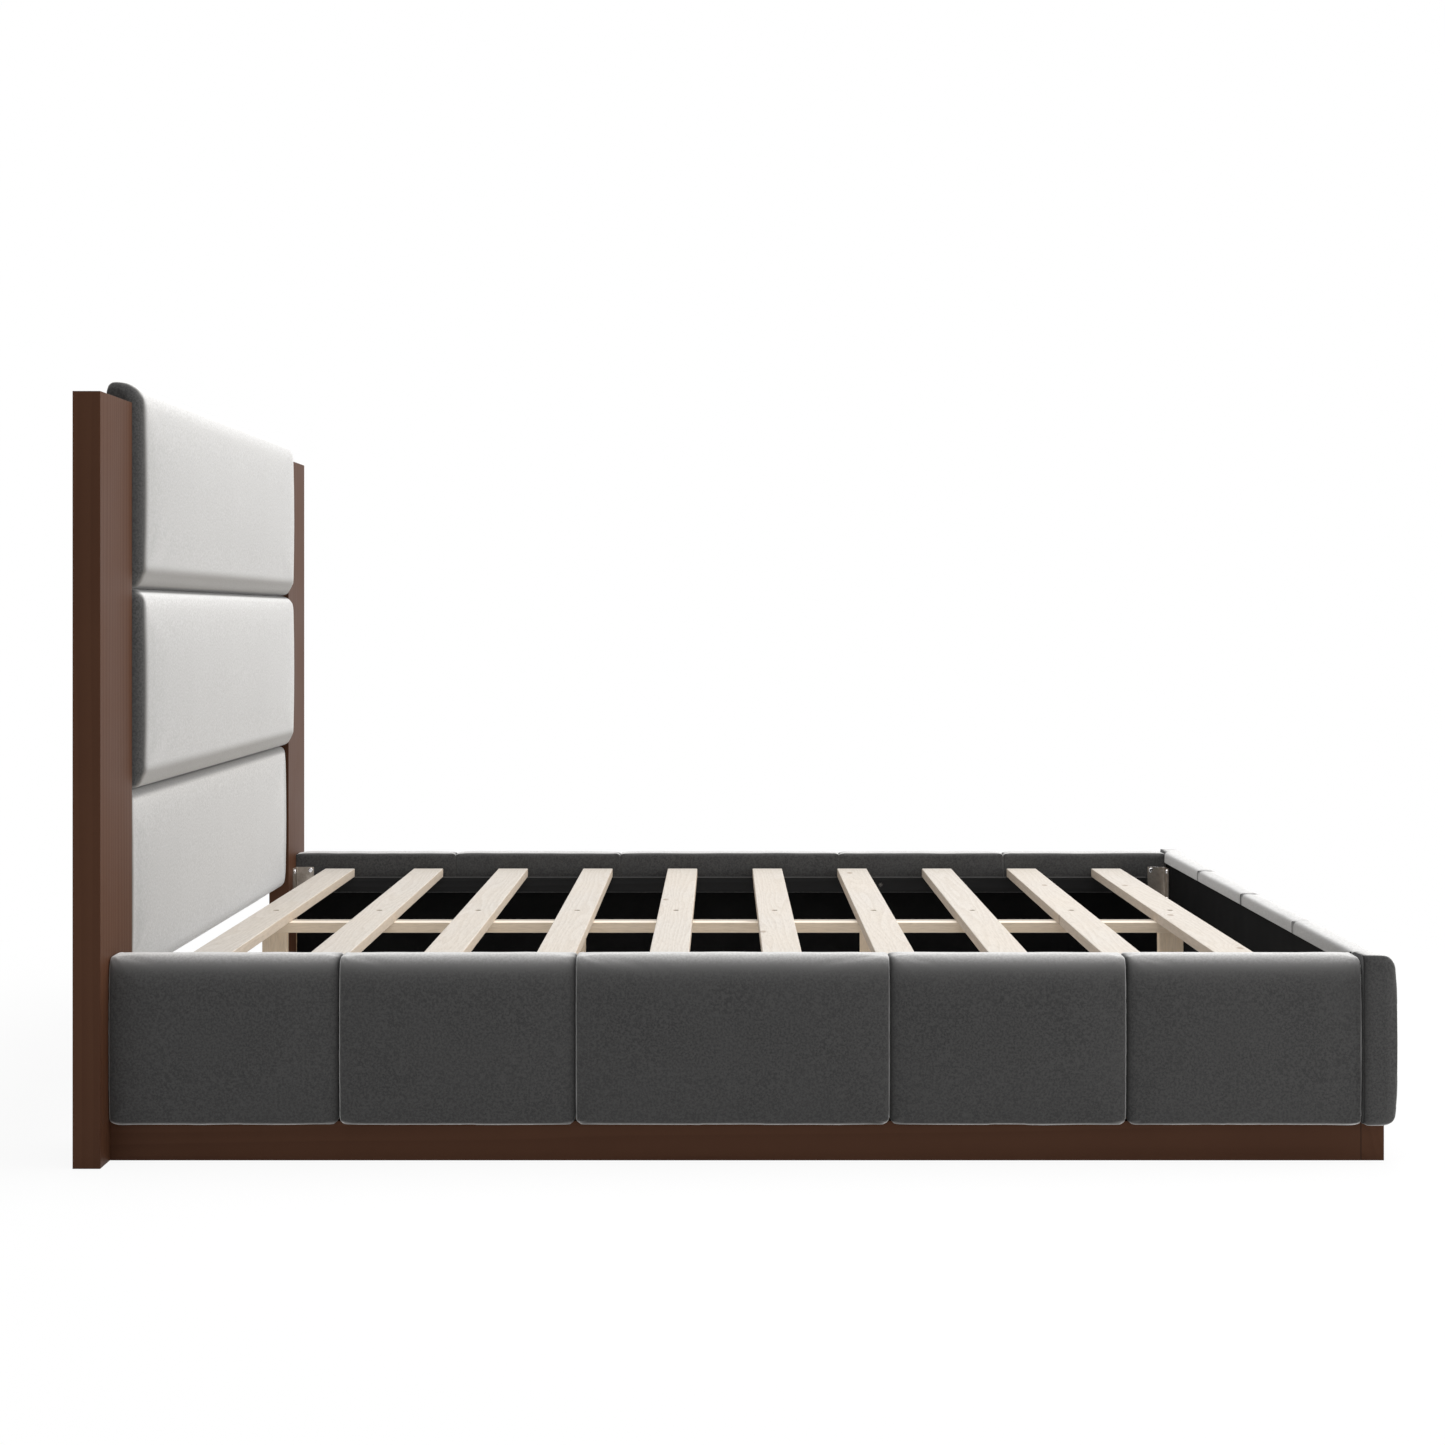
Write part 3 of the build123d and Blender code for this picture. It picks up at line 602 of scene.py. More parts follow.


# %% The velvet itself
# The pads carry three attributes, read in this order: a painted highlight at edges and seams, 1 at its
# strongest; painted light, a highlight above 0 and painted shade below 0; and painted shade, 1 where
# darkest.
def marked(name):
    return put("Attribute", {"attribute_name": name}).outputs["Fac"]


velvet = new_material("charcoal_velvet")
patches, tufts, fibres, relief = use_group(cloth_group, Patch_size=8.0, Fibre_size=620.0,
                                           Weave_width=1.1 * MM)
tuft = spread(tufts, 0.41, 0.59)
fibre = times(spread(fibres, 0.30, 0.70), 0.5)
dark = layered((0.031, 0.031, 0.0315, 1),
               (spread(patches, 0.36, 0.64), (0.039, 0.039, 0.0395, 1)),
               (tuft, (0.066, 0.0655, 0.065, 1)),
               (fibre, (0.078, 0.077, 0.076, 1)))
pale = layered((0.762, 0.762, 0.757, 1),
               (tuft, (0.577, 0.574, 0.567, 1)),
               (fibre, (0.48, 0.477, 0.47, 1)))
# The pale colour above is a painted sheen: Layer Weight mixes it into the base colour where the surface
# is seen at a flat angle.
flat_angle = put("LayerWeight", Blend=0.5).outputs["Facing"]
painted_rim, brushed, painted_shade_share = marked("painted_rim"), marked("brushed"), marked("painted_shade")
painted_sheen = plus(times(flat_angle, 0.08), spread(flat_angle, 0.42, 1.0, 0.0, 0.92, smooth=True))
# The painted rim attribute widens the painted sheen into a painted highlight at edges and seams.
painted_sheen = calc("MAXIMUM", painted_sheen, times(painted_rim, spread(flat_angle, 0.16, 0.60)))
# The painted shade attribute weakens the painted sheen and darkens the colour towards near black: painted
# shade in seams, joints and gaps.
unshaded_share = inverse(painted_shade_share, clamp=True)
# Where the painted light attribute is above 0, a painted highlight lightens the dark velvet and, near 1,
# the pale colour; below 0, painted shade darkens the pale colour.
painted_highlight = blend(tuft, (0.80, 0.79, 0.785, 1), (0.61, 0.605, 0.595, 1))
dark = blend(times(calc("MAXIMUM", brushed, 0.0), unshaded_share), dark, painted_highlight)
pale = layered(pale,
               (times(brushed, -0.62, clamp=True), (0.24, 0.225, 0.205, 1)),
               (spread(brushed, 0.6, 1.0), (0.96, 0.96, 0.955, 1)))
base = layered(dark, (times(painted_sheen, unshaded_share), pale), (times(painted_shade_share, 0.93), grey(0.006)))
end_material(base, spread(fibres, 0.3, 0.7, 0.82, 0.95), relief, 0.35, 0.4 * MM,
             Specular_IOR_Level=0.15, Sheen_Weight=0.35, Sheen_Roughness=0.35, Sheen_Tint=grey(0.95))
print("velvet:", len(velvet.node_tree.nodes), "nodes")


# %% [markdown]
# ## How a pad gets its shape
# A real pad is foam on a board with the velvet pulled tight over it and stapled behind. The foam
# pushes out, and the cloth is held at the seams and round the back, so every pad is crowned in its
# middle and drawn in at its ends. That is what the cloth simulation does here: the frame's solid,
# merged and with its slot filled, is remeshed evenly, held where the staples would be and blown up
# a little. Carving the same shape by hand would work, but its curves would never be as even.

# %% A closed copy of a frame solid
def closed_copy(name, source):
    """A pad's frame solid as one closed skin, its slot filled by a convex hull."""
    made = copy_of(nodes[source], name)
    made.data.materials.clear()
    with editing(made):
        bpy.ops.mesh.remove_doubles(threshold=0.01 * MM)
        bpy.ops.mesh.convex_hull()
    return made


def pad_axes(points, kind):
    """A pad's points as places along it, outwards from its board, and up."""
    x, y, z = points.T
    return (x, -y, z) if kind == "side" else (y, x, z)


def from_pad_axes(along, out, up, kind):
    return np.column_stack((along, -out, up) if kind == "side" else (out, along, up))


def rise(value, low, high):
    """0 below low, 1 above high and a smooth step between them."""
    share = np.clip((value - low) / (high - low), 0, 1)
    return share * share * (3 - 2 * share)


def fall(value, low, high):
    """1 below low, 0 above high and a smooth step between them."""
    return 1 - rise(value, low, high)


print("a smooth step at its quarters:", [float(rise(share, 0, 1)) for share in (0.25, 0.5, 0.75)])


# %% Holding and blowing up
simulated_frames = 20


def held_share(along, out, up, plan):
    """1 where the cloth is stapled or sewn, and 0 where it is free."""
    held = fall(out, plan.hold, plan.hold + 8 * MM)
    if plan.kind != "head":
        held = np.maximum(held, (up < plan.limits[0][2] + 3 * MM) * 1.0)
    for seam in plan.seams:
        held = np.maximum(held, fall(abs(along - seam), 2 * MM, 7 * MM))
    return held


def blow_up(piece, plan):
    """Cloth simulation with air pressure, with the furthest point held to the plan's swell."""
    rest = points_of(piece)
    group = piece.vertex_groups.new(name="held")
    for index, share in enumerate(held_share(*pad_axes(rest, plan.kind), plan)):
        if share > 0.01:
            group.add([index], float(share), "REPLACE")
    select_only(piece)
    bpy.ops.object.modifier_add(type="CLOTH")
    cloth = piece.modifiers[-1]
    for name, value in (("quality", 4), ("mass", 0.3), ("vertex_group_mass", "held"),
                        ("use_pressure", True), ("uniform_pressure_force", 4)):
        setattr(cloth.settings, name, value)
    cloth.settings.effector_weights.gravity = 0
    cloth.point_cache.frame_start, cloth.point_cache.frame_end = 1, simulated_frames
    for step in range(1, simulated_frames + 1):
        bpy.context.scene.frame_set(step)
    bpy.ops.object.modifier_apply(modifier=cloth.name)
    bpy.context.scene.frame_set(1)
    moved = points_of(piece) - rest
    furthest = np.linalg.norm(moved, axis=1).max()
    moved *= min(1, plan.swell / furthest)
    low, high = plan.limits
    if plan.wraps:
        moved *= rise(pad_axes(rest, "foot")[0] - low[0], 6 * MM, 70 * MM)[:, None]
    if plan.kind == "head":
        along, _, up = pad_axes(rest, "head")
        inset = np.minimum.reduce([along - low[0], high[0] - along, up - low[2], high[2] - up])
        moved *= rise(inset, 4 * MM, 80 * MM)[:, None]
    set_points(piece, rest + moved)
    piece.vertex_groups.clear()
    return furthest


print("simulation:", simulated_frames, "frames for each shape")


# %% Cutting slots, and stretching between two ends
def cut_slots(piece, slots):
    """Takes the boards' room, and what isn't foam, out of a pad."""
    for low, high in slots:
        cutter = block("cutter", low, high)
        apply_modifier(piece, "BOOLEAN", operation="DIFFERENCE", object=cutter, solver="EXACT")
        bpy.data.objects.remove(cutter)


def stretch(values, fixed, low, high):
    """Values on each side of a fixed one, scaled to end at low and at high."""
    below = fixed - (fixed - values) * (fixed - low) / (fixed - values.min())
    above = fixed + (values - fixed) * (high - fixed) / (values.max() - fixed)
    return np.where(values < fixed, below, above)


print("0, 1 and 2 stretched round 1:", stretch(np.array([0.0, 1.0, 2.0]), 1.0, -1.0, 4.0))


# %% Straight ends and hems
thin_lip = 12 * MM


def square_inner_ends(along, out, plan):
    """Fills out the thin lip at each seam, where the remesh has rounded it away."""
    inner_face = plan.limits[0][1]
    inner = np.clip((out - inner_face) / thin_lip, 0, 1)
    squared = inner_face + thin_lip * inner ** 3
    for seam in plan.seams:
        near_seam = fall(abs(along - seam), 6 * MM, 13 * MM) * (inner < 1)
        out = out + (squared - out) * near_seam
    return out


def square_outer_end(along, out, up, end, base, reach, radius, crown, extra):
    """Brings the face to its crown, or by extra past it, near an end that is only slightly rounded."""
    from_end = abs(along - end)
    middle = abs(up - np.median(up)) < 60 * MM
    places = np.arange(0, reach + 2 * MM, 3 * MM)
    wanted = crown - radius + np.sqrt(radius ** 2 - np.maximum(radius - places, 0) ** 2)
    wanted = wanted + extra * fall(places, 12 * MM, reach)
    for _ in range(3):
        reached = np.array([out[middle & (abs(from_end - p) < 2.5 * MM)].max() for p in places])
        reached = np.convolve(np.pad(reached, 2, mode="edge"), np.ones(5) / 5, "valid")
        gain = np.interp(from_end, places, (wanted - base) / (reached - base))
        gain = gain + (1 - gain) * rise(from_end, reach * 0.3, reach)
        out = np.where(out > base, base + (out - base) * gain, out)
    return out


def straight_hem(along, out, up, plan, hang):
    """Lets the edge that hangs past the plinth down by an even amount."""
    low = plan.limits[0]
    hanging = out > plan.plinth + 6 * MM
    places = np.arange(along[hanging].min(), along[hanging].max(), 6 * MM)
    lowest = np.array([up[hanging & (abs(along - place) < 9 * MM)].min() for place in places])
    drop = np.interp(along, places, lowest) - (low[2] - hang)
    overhang = rise(out, plan.plinth, plan.plinth + 7 * MM)
    if plan.wraps:
        overhang = np.maximum(overhang, fall(along - low[0], 12 * MM, 22 * MM))
    return up - drop * overhang * fall(up, low[2], low[2] + 30 * MM)


def shape_wrapped_end(along, out, up, height, front, plan):
    """Gives the footboard's end pads their square, straight end, and draws it in at its joint."""
    low, high = plan.limits
    from_end = along - low[0]
    out = square_outer_end(along, out, up, low[0], plan.board, 200 * MM, 6 * MM, high[1], 4.3 * MM)
    out = out + 6 * MM * abs(height) ** 2.4 * fall(from_end, 20 * MM, 200 * MM) * front
    corner = np.hypot(from_end - 4 * MM, high[2] - up - 4 * MM)
    up = up + 3.5 * MM * np.exp(-(corner / (5 * MM)) ** 2)
    up = up + 1.5 * MM * fall(from_end, 15 * MM, 45 * MM) * rise(height, 0.8, 0.97)
    near_end = fall(from_end, 50 * MM, 60 * MM)
    out = out - 14 * MM * near_end * fall(out, plan.joint, plan.joint + 30 * MM)
    return out, up


print("lips are filled out over", round(thin_lip / MM), "mm")


# %% Fitting a pad to its place
overlap, end_curve = 1 * MM, 34 * MM


def fit_to(points, plan):
    """Keeps a pad between its neighbours, and brings its crown to the frame's own."""
    along, out, up = pad_axes(points, plan.kind)
    low, high = plan.limits
    base = plan.board
    waist = (low[2] + high[2]) / 2
    out = np.maximum(stretch(out, base, min(low[1], out.min()), high[1]), low[1])
    along = stretch(along, (low[0] + high[0]) / 2, low[0] - overlap, high[0] + overlap)
    if plan.kind == "head":
        up = stretch(up, waist, low[2], high[2])
    else:
        up = np.where(up < waist, stretch(up, waist, low[2], up.max()),
                      stretch(up, plan.cap, up.min(), high[2]))
    along, up = np.clip(along, low[0], high[0]), np.clip(up, low[2], high[2])
    out = square_inner_ends(along, out, plan)
    front = np.clip((out - base) / (high[1] - base), 0, 1)
    if plan.kind == "head":
        across = 2 * (along - low[0]) / (high[0] - low[0]) - 1
        near_end = fall((1 - abs(across)) * (high[0] - low[0]) / 2, 0, end_curve)
        out = out + front * (plan.proud + (1.5 * across ** 2 + 3 * near_end) * MM)
        from_bottom = np.clip((up - low[2]) / plan.under_edge, 0, 1)
        out = out - front * plan.under_cut * np.sin(math.pi * from_bottom)
        up = up + plan.end_lift * near_end * rise(up, high[2] - 90 * MM, high[2] - 30 * MM)
        return from_pad_axes(along, out, up, plan.kind)
    height = 2 * (up - waist) / (high[2] - low[2])
    if plan.wraps:
        out, up = shape_wrapped_end(along, out, up, height, front, plan)
    up = straight_hem(along, out, up, plan, 2 * MM if plan.wraps else 4.5 * MM)
    if plan.wraps:
        up = up + 4 * MM * np.exp(-((out - plan.joint) / (6 * MM)) ** 2) * rise(-height, 0.8, 0.97)
    return from_pad_axes(along, out, up, plan.kind)


print("the headboard's pads curve back over their last", round(end_curve / MM), "mm")


# %% Painted light and shade on the pads
dark_end = 16 * MM, 36 * MM


def head_marks(along, up, plan):
    """A headboard pad: painted shade at its joints and growing along it, a painted highlight at its top,
    and painted shade on its first end and, if set proud, on a band along its bottom.
    """
    low, high = plan.limits
    from_start = along - low[0]
    painted_shades = np.zeros(len(up))
    # Painted shade at each joint: a dark line in the gap, and a painted shadow beside it as deep and as
    # dark as the plan's edge gives.
    for edge, depth, shade in plan.edges:
        gap = abs(up - edge)
        painted_shades = np.maximum(painted_shades, np.exp(-(gap / (3.5 * MM)) ** 2))
        painted_shades = np.maximum(painted_shades, shade * fall(gap, 0.8 * depth, 1.7 * depth))
    # A painted shade that grows from the first end dims the whole pad, as much as the plan gives.
    painted_shades = np.maximum(painted_shades, plan.laid_flat * from_start / (high[0] - low[0]))
    # A painted highlight fades down from the top, away from the ends; painted shade darkens the first end
    # and, on a pad set proud, the band along its bottom.
    brushed = np.exp(-np.maximum(high[2] - up, 0) / plan.brushed)
    brushed = brushed * rise(np.minimum(from_start, high[0] - along), 4 * MM, 16 * MM)
    brushed -= 1.6 * fall(from_start, *dark_end)
    if plan.under_cut > 0:
        top_of_band = low[2] + plan.under_edge
        brushed -= 1.12 * fall(up, top_of_band - 4 * MM, top_of_band + 15 * MM)
    return painted_shades, np.zeros(len(up)), brushed


def rail_marks(along, out, up, plan):
    """Any other pad: painted shade at each seam with a painted highlight beside the outward ones,
    a painted highlight along its hem, painted light on its top and painted shade inside its lip.
    """
    low, high = plan.limits
    painted_shades, painted_rims = np.zeros(len(up)), np.zeros(len(up))
    # A painted highlight fades down from the top.
    brushed = np.exp(-np.maximum(high[2] - up, 0) / plan.brushed)
    outside = rise(out, low[1] + 4 * MM, low[1] + 18 * MM)
    middle = (low[0] + high[0]) / 2
    lines = [(abs(along - seam), abs(seam) < abs(middle)) for seam in plan.seams]
    if plan.wraps:
        lines.append((abs(out - plan.joint) + 1 * (along > low[0] + 60 * MM), True))
        brushed *= rise(along, low[0] + 4 * MM, low[0] + 14 * MM)
    # Painted shade in each seam: broad where the seam looks inwards, narrow beside a painted highlight
    # where it looks outwards.
    for gap, looks_inwards in lines:
        if looks_inwards:
            painted_shade_share = np.exp(-gap / (5 * MM))
        else:
            painted_shade_share = 0.6 * np.exp(-(gap / (0.5 * MM)) ** 2)
            painted_rims = np.maximum(painted_rims, 0.9 * fall(gap, 1 * MM, 3.5 * MM) * outside)
        painted_shades = np.maximum(painted_shades, painted_shade_share * (outside if plan.kind == "side" else 1))
    # A painted highlight along the hem, faint on the footboard's end pads.
    under = 0.12 if plan.wraps else 1
    painted_rims = np.maximum(painted_rims, under * fall(up, low[2] - 1 * MM, low[2] + 4 * MM) * outside)
    # The painted light stays on the outside of the lip, painted shade darkens the lip's inner face, and a
    # faint painted highlight edges a seam that meets the footboard.
    lip = 22 * MM if plan.kind == "side" else 12 * MM
    brushed *= 0.6 * rise(out, low[1] + lip * 0.3, low[1] + lip)
    if plan.seams[-1] > plan.joint - 1 * MM:
        brushed = np.maximum(brushed, 0.2 * fall(plan.seams[-1] - along, 2 * MM, 5 * MM) * outside)
    return painted_shades, painted_rims, brushed - 0.35 * fall(out, low[1] + 1 * MM, low[1] + 5 * MM)


print("the headboard's pads are dark on their first", round(dark_end[0] / MM), "mm")


# %% Fine shape: puckers, pull lines and soft hollows
def waves(chance, place, low, high, count):
    """A sum of waves of random length and phase, mostly between -1 and 1."""
    total = 0
    for _ in range(count):
        length = chance.uniform(low, high)
        total = total + np.sin(place * (2 * math.pi / length) + chance.uniform(0, 2 * math.pi))
    return total / math.sqrt(count)


def soften(piece, plan, seed):
    """Moves a pad's skin by fractions of a millimetre, differently for each pad, and marks it."""
    chance = np.random.default_rng(seed)
    points = points_of(piece)
    normals = np.empty(points.size)
    piece.data.vertex_normals.foreach_get("vector", normals)
    along, out, up = pad_axes(points, plan.kind)
    low, high = plan.limits
    outer = rise(out, plan.board + 3 * MM, plan.board + 15 * MM)
    if plan.kind != "head":
        outer = np.maximum(outer, rise(up, high[2] - 9 * MM, high[2] - 2 * MM)
                           * rise(out, low[1] + 1 * MM, low[1] + 9 * MM))
    for slot_low, slot_high in plan.slots:
        inside = np.all((points > np.array(slot_low) - 0.1 * MM)
                        & (points < np.array(slot_high) + 0.1 * MM), axis=1)
        outer = outer * ~inside
    hollows = sum(waves(chance, along * math.cos(a) + up * math.sin(a), 0.07, 0.21, 2)
                  for a in chance.uniform(0, math.pi, 5)) / math.sqrt(5)
    move = plan.hollow * hollows
    for seam in plan.seams:
        gap = abs(along - seam)
        move += 0.15 * MM * waves(chance, up + out, 0.018, 0.040, 3) * np.exp(-gap / (9 * MM))
        for edge in (low[2], high[2]):
            from_corner = np.hypot(along - seam, up - edge)
            turn = np.arctan2(abs(up - edge), gap)
            move += (0.8 * MM * np.sin(turn * chance.uniform(7, 10) + chance.uniform(0, 6))
                     * np.exp(-from_corner / (26 * MM)) * rise(from_corner, 4 * MM, 14 * MM))
    along, out, up = pad_axes(points + normals.reshape(-1, 3) * (move * outer)[:, None], plan.kind)
    set_points(piece, from_pad_axes(np.clip(along, low[0], high[0]), out, up, plan.kind))
    marks = head_marks(along, up, plan) if plan.kind == "head" else rail_marks(along, out, up, plan)
    for name, values in zip(("painted_shade", "painted_rim", "brushed"), marks):
        piece.data.attributes.new(name, "FLOAT", "POINT").data.foreach_set("value", values)


print("furthest a sum of waves goes:",
      round(float(abs(waves(np.random.default_rng(0), np.linspace(0, 1, 500), 0.07, 0.21, 3)).max()), 2))


# %% [markdown]
# ## Which pads there are
# The side rails have five pads each, the footboard four and the headboard three. A rail's pads of
# one length have one shape, so the simulation runs once for the long middle pad and once for the
# shorter ones, and the rest are copies: mirrored for the other side, stretched by a few millimetres
# where a seam asks for it, and each softened with its own small unevenness so that no two are the
# same. The footboard's end pads and inner pads share a shape in the same way.

# %% Plans for each kind of pad
rail_low, rail_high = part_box("side_rail_left")
foot_low, foot_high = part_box("foot_rail")
board_top = rail_high.z + 0.3 * MM
clear, touch = 10 * MM, 0.15 * MM
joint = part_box("side_pad_left_5")[1].x + touch
plinth_out = {"side": -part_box("plinth_left")[0].y, "foot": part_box("plinth_foot")[1].x, "head": 0}
side_lip_bottom, foot_lip_bottom, foot_lip_end = 0.245, 0.316, 0.7767
side_hold, side_board_face, foot_hold = 0.792, 0.811, 1.0345


def pad_plan(source, kind, seams, **more):
    """What a pad's shape needs to know. seams says at which of its two ends it is sewn."""
    axes = pad_axes(np.array(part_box(source)), kind)
    limits = [np.array([min(v) for v in axes]), np.array([max(v) for v in axes])]
    if kind != "head":
        limits[0][0] -= touch
        limits[1][0] += touch
    # The painted highlight reaches 11 mm down from a pad's top, unless a plan gives its own reach.
    plan = {"source": source, "kind": kind, "limits": limits, "seams": [limits[i][0] for i in seams],
            "cap": board_top, "wraps": False, "joint": joint, "brushed": 11 * MM, "hollow": 0.3 * MM,
            "plinth": plinth_out[kind]}
    return SimpleNamespace(**{**plan, **more})


def side_plan(source):
    """A pad of the left rail: its slot holds the board, and its lip ends at the ledger."""
    low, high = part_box(source)
    start, stop = low.x - clear, high.x + clear
    slots = [((start, rail_low.y - 0.3 * MM, low.z - clear), (stop, rail_high.y, board_top)),
             ((start, rail_high.y - clear, low.z - clear), (stop, high.y + clear, side_lip_bottom))]
    return pad_plan(source, "side", (0, 1), hold=side_hold, board=side_board_face, slots=slots,
                    swell=6.5 * MM)


def foot_plan(source):
    """A pad of the footboard: the end pad also wraps round the end of the board."""
    low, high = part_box(source)
    near = max(low.y - clear, foot_low.y - 0.3 * MM)
    slots = [((foot_low.x, near, low.z - clear), (foot_high.x + 0.3 * MM, high.y + clear, board_top)),
             ((low.x - clear, near, low.z - clear),
              (foot_low.x + clear, high.y + clear, foot_lip_bottom))]
    wraps = low.y < foot_low.y
    if wraps:
        slots += [((low.x - clear, low.y - clear, low.z - clear),
                   (joint, -foot_lip_end, high.z + clear))]
    return pad_plan(source, "foot", (1,) if wraps else (0, 1), hold=foot_hold, board=foot_high.x,
                    slots=slots, swell=5 * MM, wraps=wraps)


def head_plan(level, edges, laid_flat, proud, end_lift):
    """A headboard pad: foam all over, with a pocket in its back for the board."""
    source = "headboard_pad_" + level
    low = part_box(source)[0]
    board_low, board_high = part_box("headboard_board_" + level)
    gap = 0.3 * MM
    slots = [((low.x - clear, board_low.y - gap, board_low.z - gap),
              (board_high.x + gap, board_high.y + gap, board_high.z + gap))]
    # A headboard pad's painted highlight reaches 34 mm down from its top.
    return pad_plan(source, "head", (), hold=low.x + 9 * MM, board=low.x + 20 * MM, slots=slots,
                    swell=2.5 * MM, hollow=0.03 * MM, edges=edges, laid_flat=laid_flat, proud=proud,
                    end_lift=end_lift, under_edge=30 * MM, under_cut=5 * MM if proud else 0,
                    brushed=34 * MM)


lower_joint, upper_joint = [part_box("headboard_pad_" + level)[1].z for level in ("lower", "middle")]
plans = {
    "side_short": side_plan("side_pad_left_2"), "side_long": side_plan("side_pad_left_3"),
    "foot_end": foot_plan("foot_pad_1"), "foot_inner": foot_plan("foot_pad_2"),
    # Each edge gives a joint's height and the depth and darkness of its painted shadow; the number after
    # the edges dims the pad with painted shade.
    "head_lower": head_plan("lower", [(lower_joint, 12 * MM, 0.47)], 0, 0, 0),
    "head_middle": head_plan("middle", [(lower_joint, 1 * MM, 0.5), (upper_joint, 5 * MM, 0.70)],
                             0.055, 3 * MM, 0),
    "head_upper": head_plan("upper", [(upper_joint, 1 * MM, 0.5)], 0.08, 3 * MM, 5.5 * MM),
}
print("plans:", {name: len(plan.slots) for name, plan in plans.items()}, "slots")


# %% Make the seven shapes
def make_shape(plan, voxel):
    piece = closed_copy("shape_" + plan.source, plan.source)
    apply_modifier(piece, "REMESH", mode="VOXEL", voxel_size=voxel)
    apply_modifier(piece, "SMOOTH", factor=0.5, iterations=3)
    furthest = blow_up(piece, plan)
    apply_modifier(piece, "SUBSURF", levels=1, render_levels=1)
    set_points(piece, fit_to(points_of(piece), plan))
    cut_slots(piece, plan.slots)
    print(plan.source, len(piece.data.vertices), "points, blown up by", round(furthest / MM, 1), "mm")
    return piece


shapes = {name: make_shape(plan, 8 * MM if plan.kind == "head" else 6 * MM)
          for name, plan in plans.items()}


# %% Place all seventeen pads
def mirror(piece):
    """Turns a piece of the left half into one of the right half."""
    set_points(piece, points_of(piece) * (1, -1, 1))
    piece.data.flip_normals()


def place_pad(source, shape, seed):
    """A copy of a shape, mirrored and stretched to a frame pad's own place."""
    plan = SimpleNamespace(**vars(plans[shape]))
    piece = copy_of(shapes[shape], "velvet_" + source)
    low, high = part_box(source)
    if plan.kind == "side":
        points = points_of(piece)
        ends = [low.x - touch, high.x + touch]
        points[:, 0] = np.interp(points[:, 0], [limit[0] for limit in plan.limits], ends)
        plan.limits = [np.array([end, *limit[1:]]) for end, limit in zip(ends, plan.limits)]
        plan.seams = ends
        if source.endswith("5"):
            along, out, up = pad_axes(points, "side")
            out = square_outer_end(along, out, up, ends[1], plan.board, 150 * MM, 4 * MM,
                                   plan.limits[1][1], -1.5 * MM)
            points = from_pad_axes(along, out, up, "side")
        set_points(piece, points)
    soften(piece, plan, seed)
    if plan.kind != "head" and low.y > -touch:
        mirror(piece)
    piece.data.materials.append(velvet)
    select_only(piece)
    bpy.ops.object.shade_smooth_by_angle(angle=math.radians(40))
    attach(piece, "root")
    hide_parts(source)
    return piece


shape_of = {f"side_pad_{side}_{number}": "side_long" if number == 3 else "side_short"
            for side in ("left", "right") for number in range(1, 6)}
shape_of |= {f"foot_pad_{number}": "foot_end" if number in (1, 4) else "foot_inner"
             for number in range(1, 5)}
shape_of |= {"headboard_pad_" + level: "head_" + level for level in ("lower", "middle", "upper")}
pads = [place_pad(source, shape, seed) for seed, (source, shape) in enumerate(shape_of.items())]
for shape in shapes.values():
    bpy.data.objects.remove(shape)
print("pads:", len(pads), "with", sum(len(pad.data.polygons) for pad in pads), "faces")


# %% [markdown]
# ## Linings, back covers and staples
# Inside the rails, and over the backs of the headboard panels, a thin black non-woven cloth hides
# the boards and the raw edges of the velvet. Its edge is turned under once and stapled about every
# eighty millimetres, so it lies flat at each staple and lifts a little between them. Inside the
# rails its top edge is tacked from behind, under the pads' lips, where no staple shows. A grid whose
# points are moved by that rule shows it better than a simulation, because the cloth is held nearly
# everywhere. Solidify then gives it its half millimetre of thickness.

# %% Black non-woven cloth
black_lining = new_material("black_lining")
patches, _, fibres, relief = use_group(cloth_group, Patch_size=14.0, Fibre_size=900.0,
                                       Weave_width=1.6 * MM)
base = layered((0.0030, 0.0030, 0.0031, 1),
               (spread(patches, 0.35, 0.65), (0.0048, 0.0048, 0.0049, 1)),
               (spread(fibres, 0.55, 0.72, 0.0, 0.8), grey(0.012)))
end_material(base, spread(fibres, 0.3, 0.7, 0.72, 0.9), relief, 0.5, 0.3 * MM,
             Specular_IOR_Level=0.04)
print("lining:", len(black_lining.node_tree.nodes), "nodes")


# %% One staple
staple_wide, staple_thick, staple_deep, staple_leg = 11 * MM, 0.4 * MM, 1.1 * MM, 1.2 * MM


def make_staple():
    """A flat wire crown with two legs, across X, its cloth side down."""
    staple = block("staple_shape", (-staple_wide / 2, -staple_deep / 2, 0),
                   (staple_wide / 2, staple_deep / 2, staple_thick))
    inner_leg = staple_wide / 2 - 0.6 * MM
    for place in (-inner_leg, inner_leg):
        with editing(staple):
            bpy.ops.mesh.bisect(plane_co=(place, 0, 0), plane_no=(1, 0, 0))
    with editing(staple, "DESELECT"):
        bpy.ops.mesh.select_mode(type="FACE")
    for face in staple.data.polygons:
        face.select = face.normal.z < -0.9 and abs(face.center.x) > inner_leg
    bpy.ops.object.mode_set(mode="EDIT")
    bpy.ops.mesh.extrude_region_move(TRANSFORM_OT_translate={"value": (0, 0, -staple_leg)})
    bpy.ops.object.mode_set(mode="OBJECT")
    apply_modifier(staple, "BEVEL", width=0.12 * MM, segments=1, limit_method="ANGLE",
                   angle_limit=math.radians(40))
    return staple


staple_shape = make_staple()
print("staple:", len(staple_shape.data.polygons), "faces")


# %% Rows of staples
staple_pitch, staple_inset = 80 * MM, 8 * MM


def along_edge(length):
    """Evenly spaced places between the two ends of an edge, about one pitch apart."""
    inner = length - 2 * staple_inset
    return staple_inset + np.linspace(0, 1, round(inner / staple_pitch) + 1) * inner


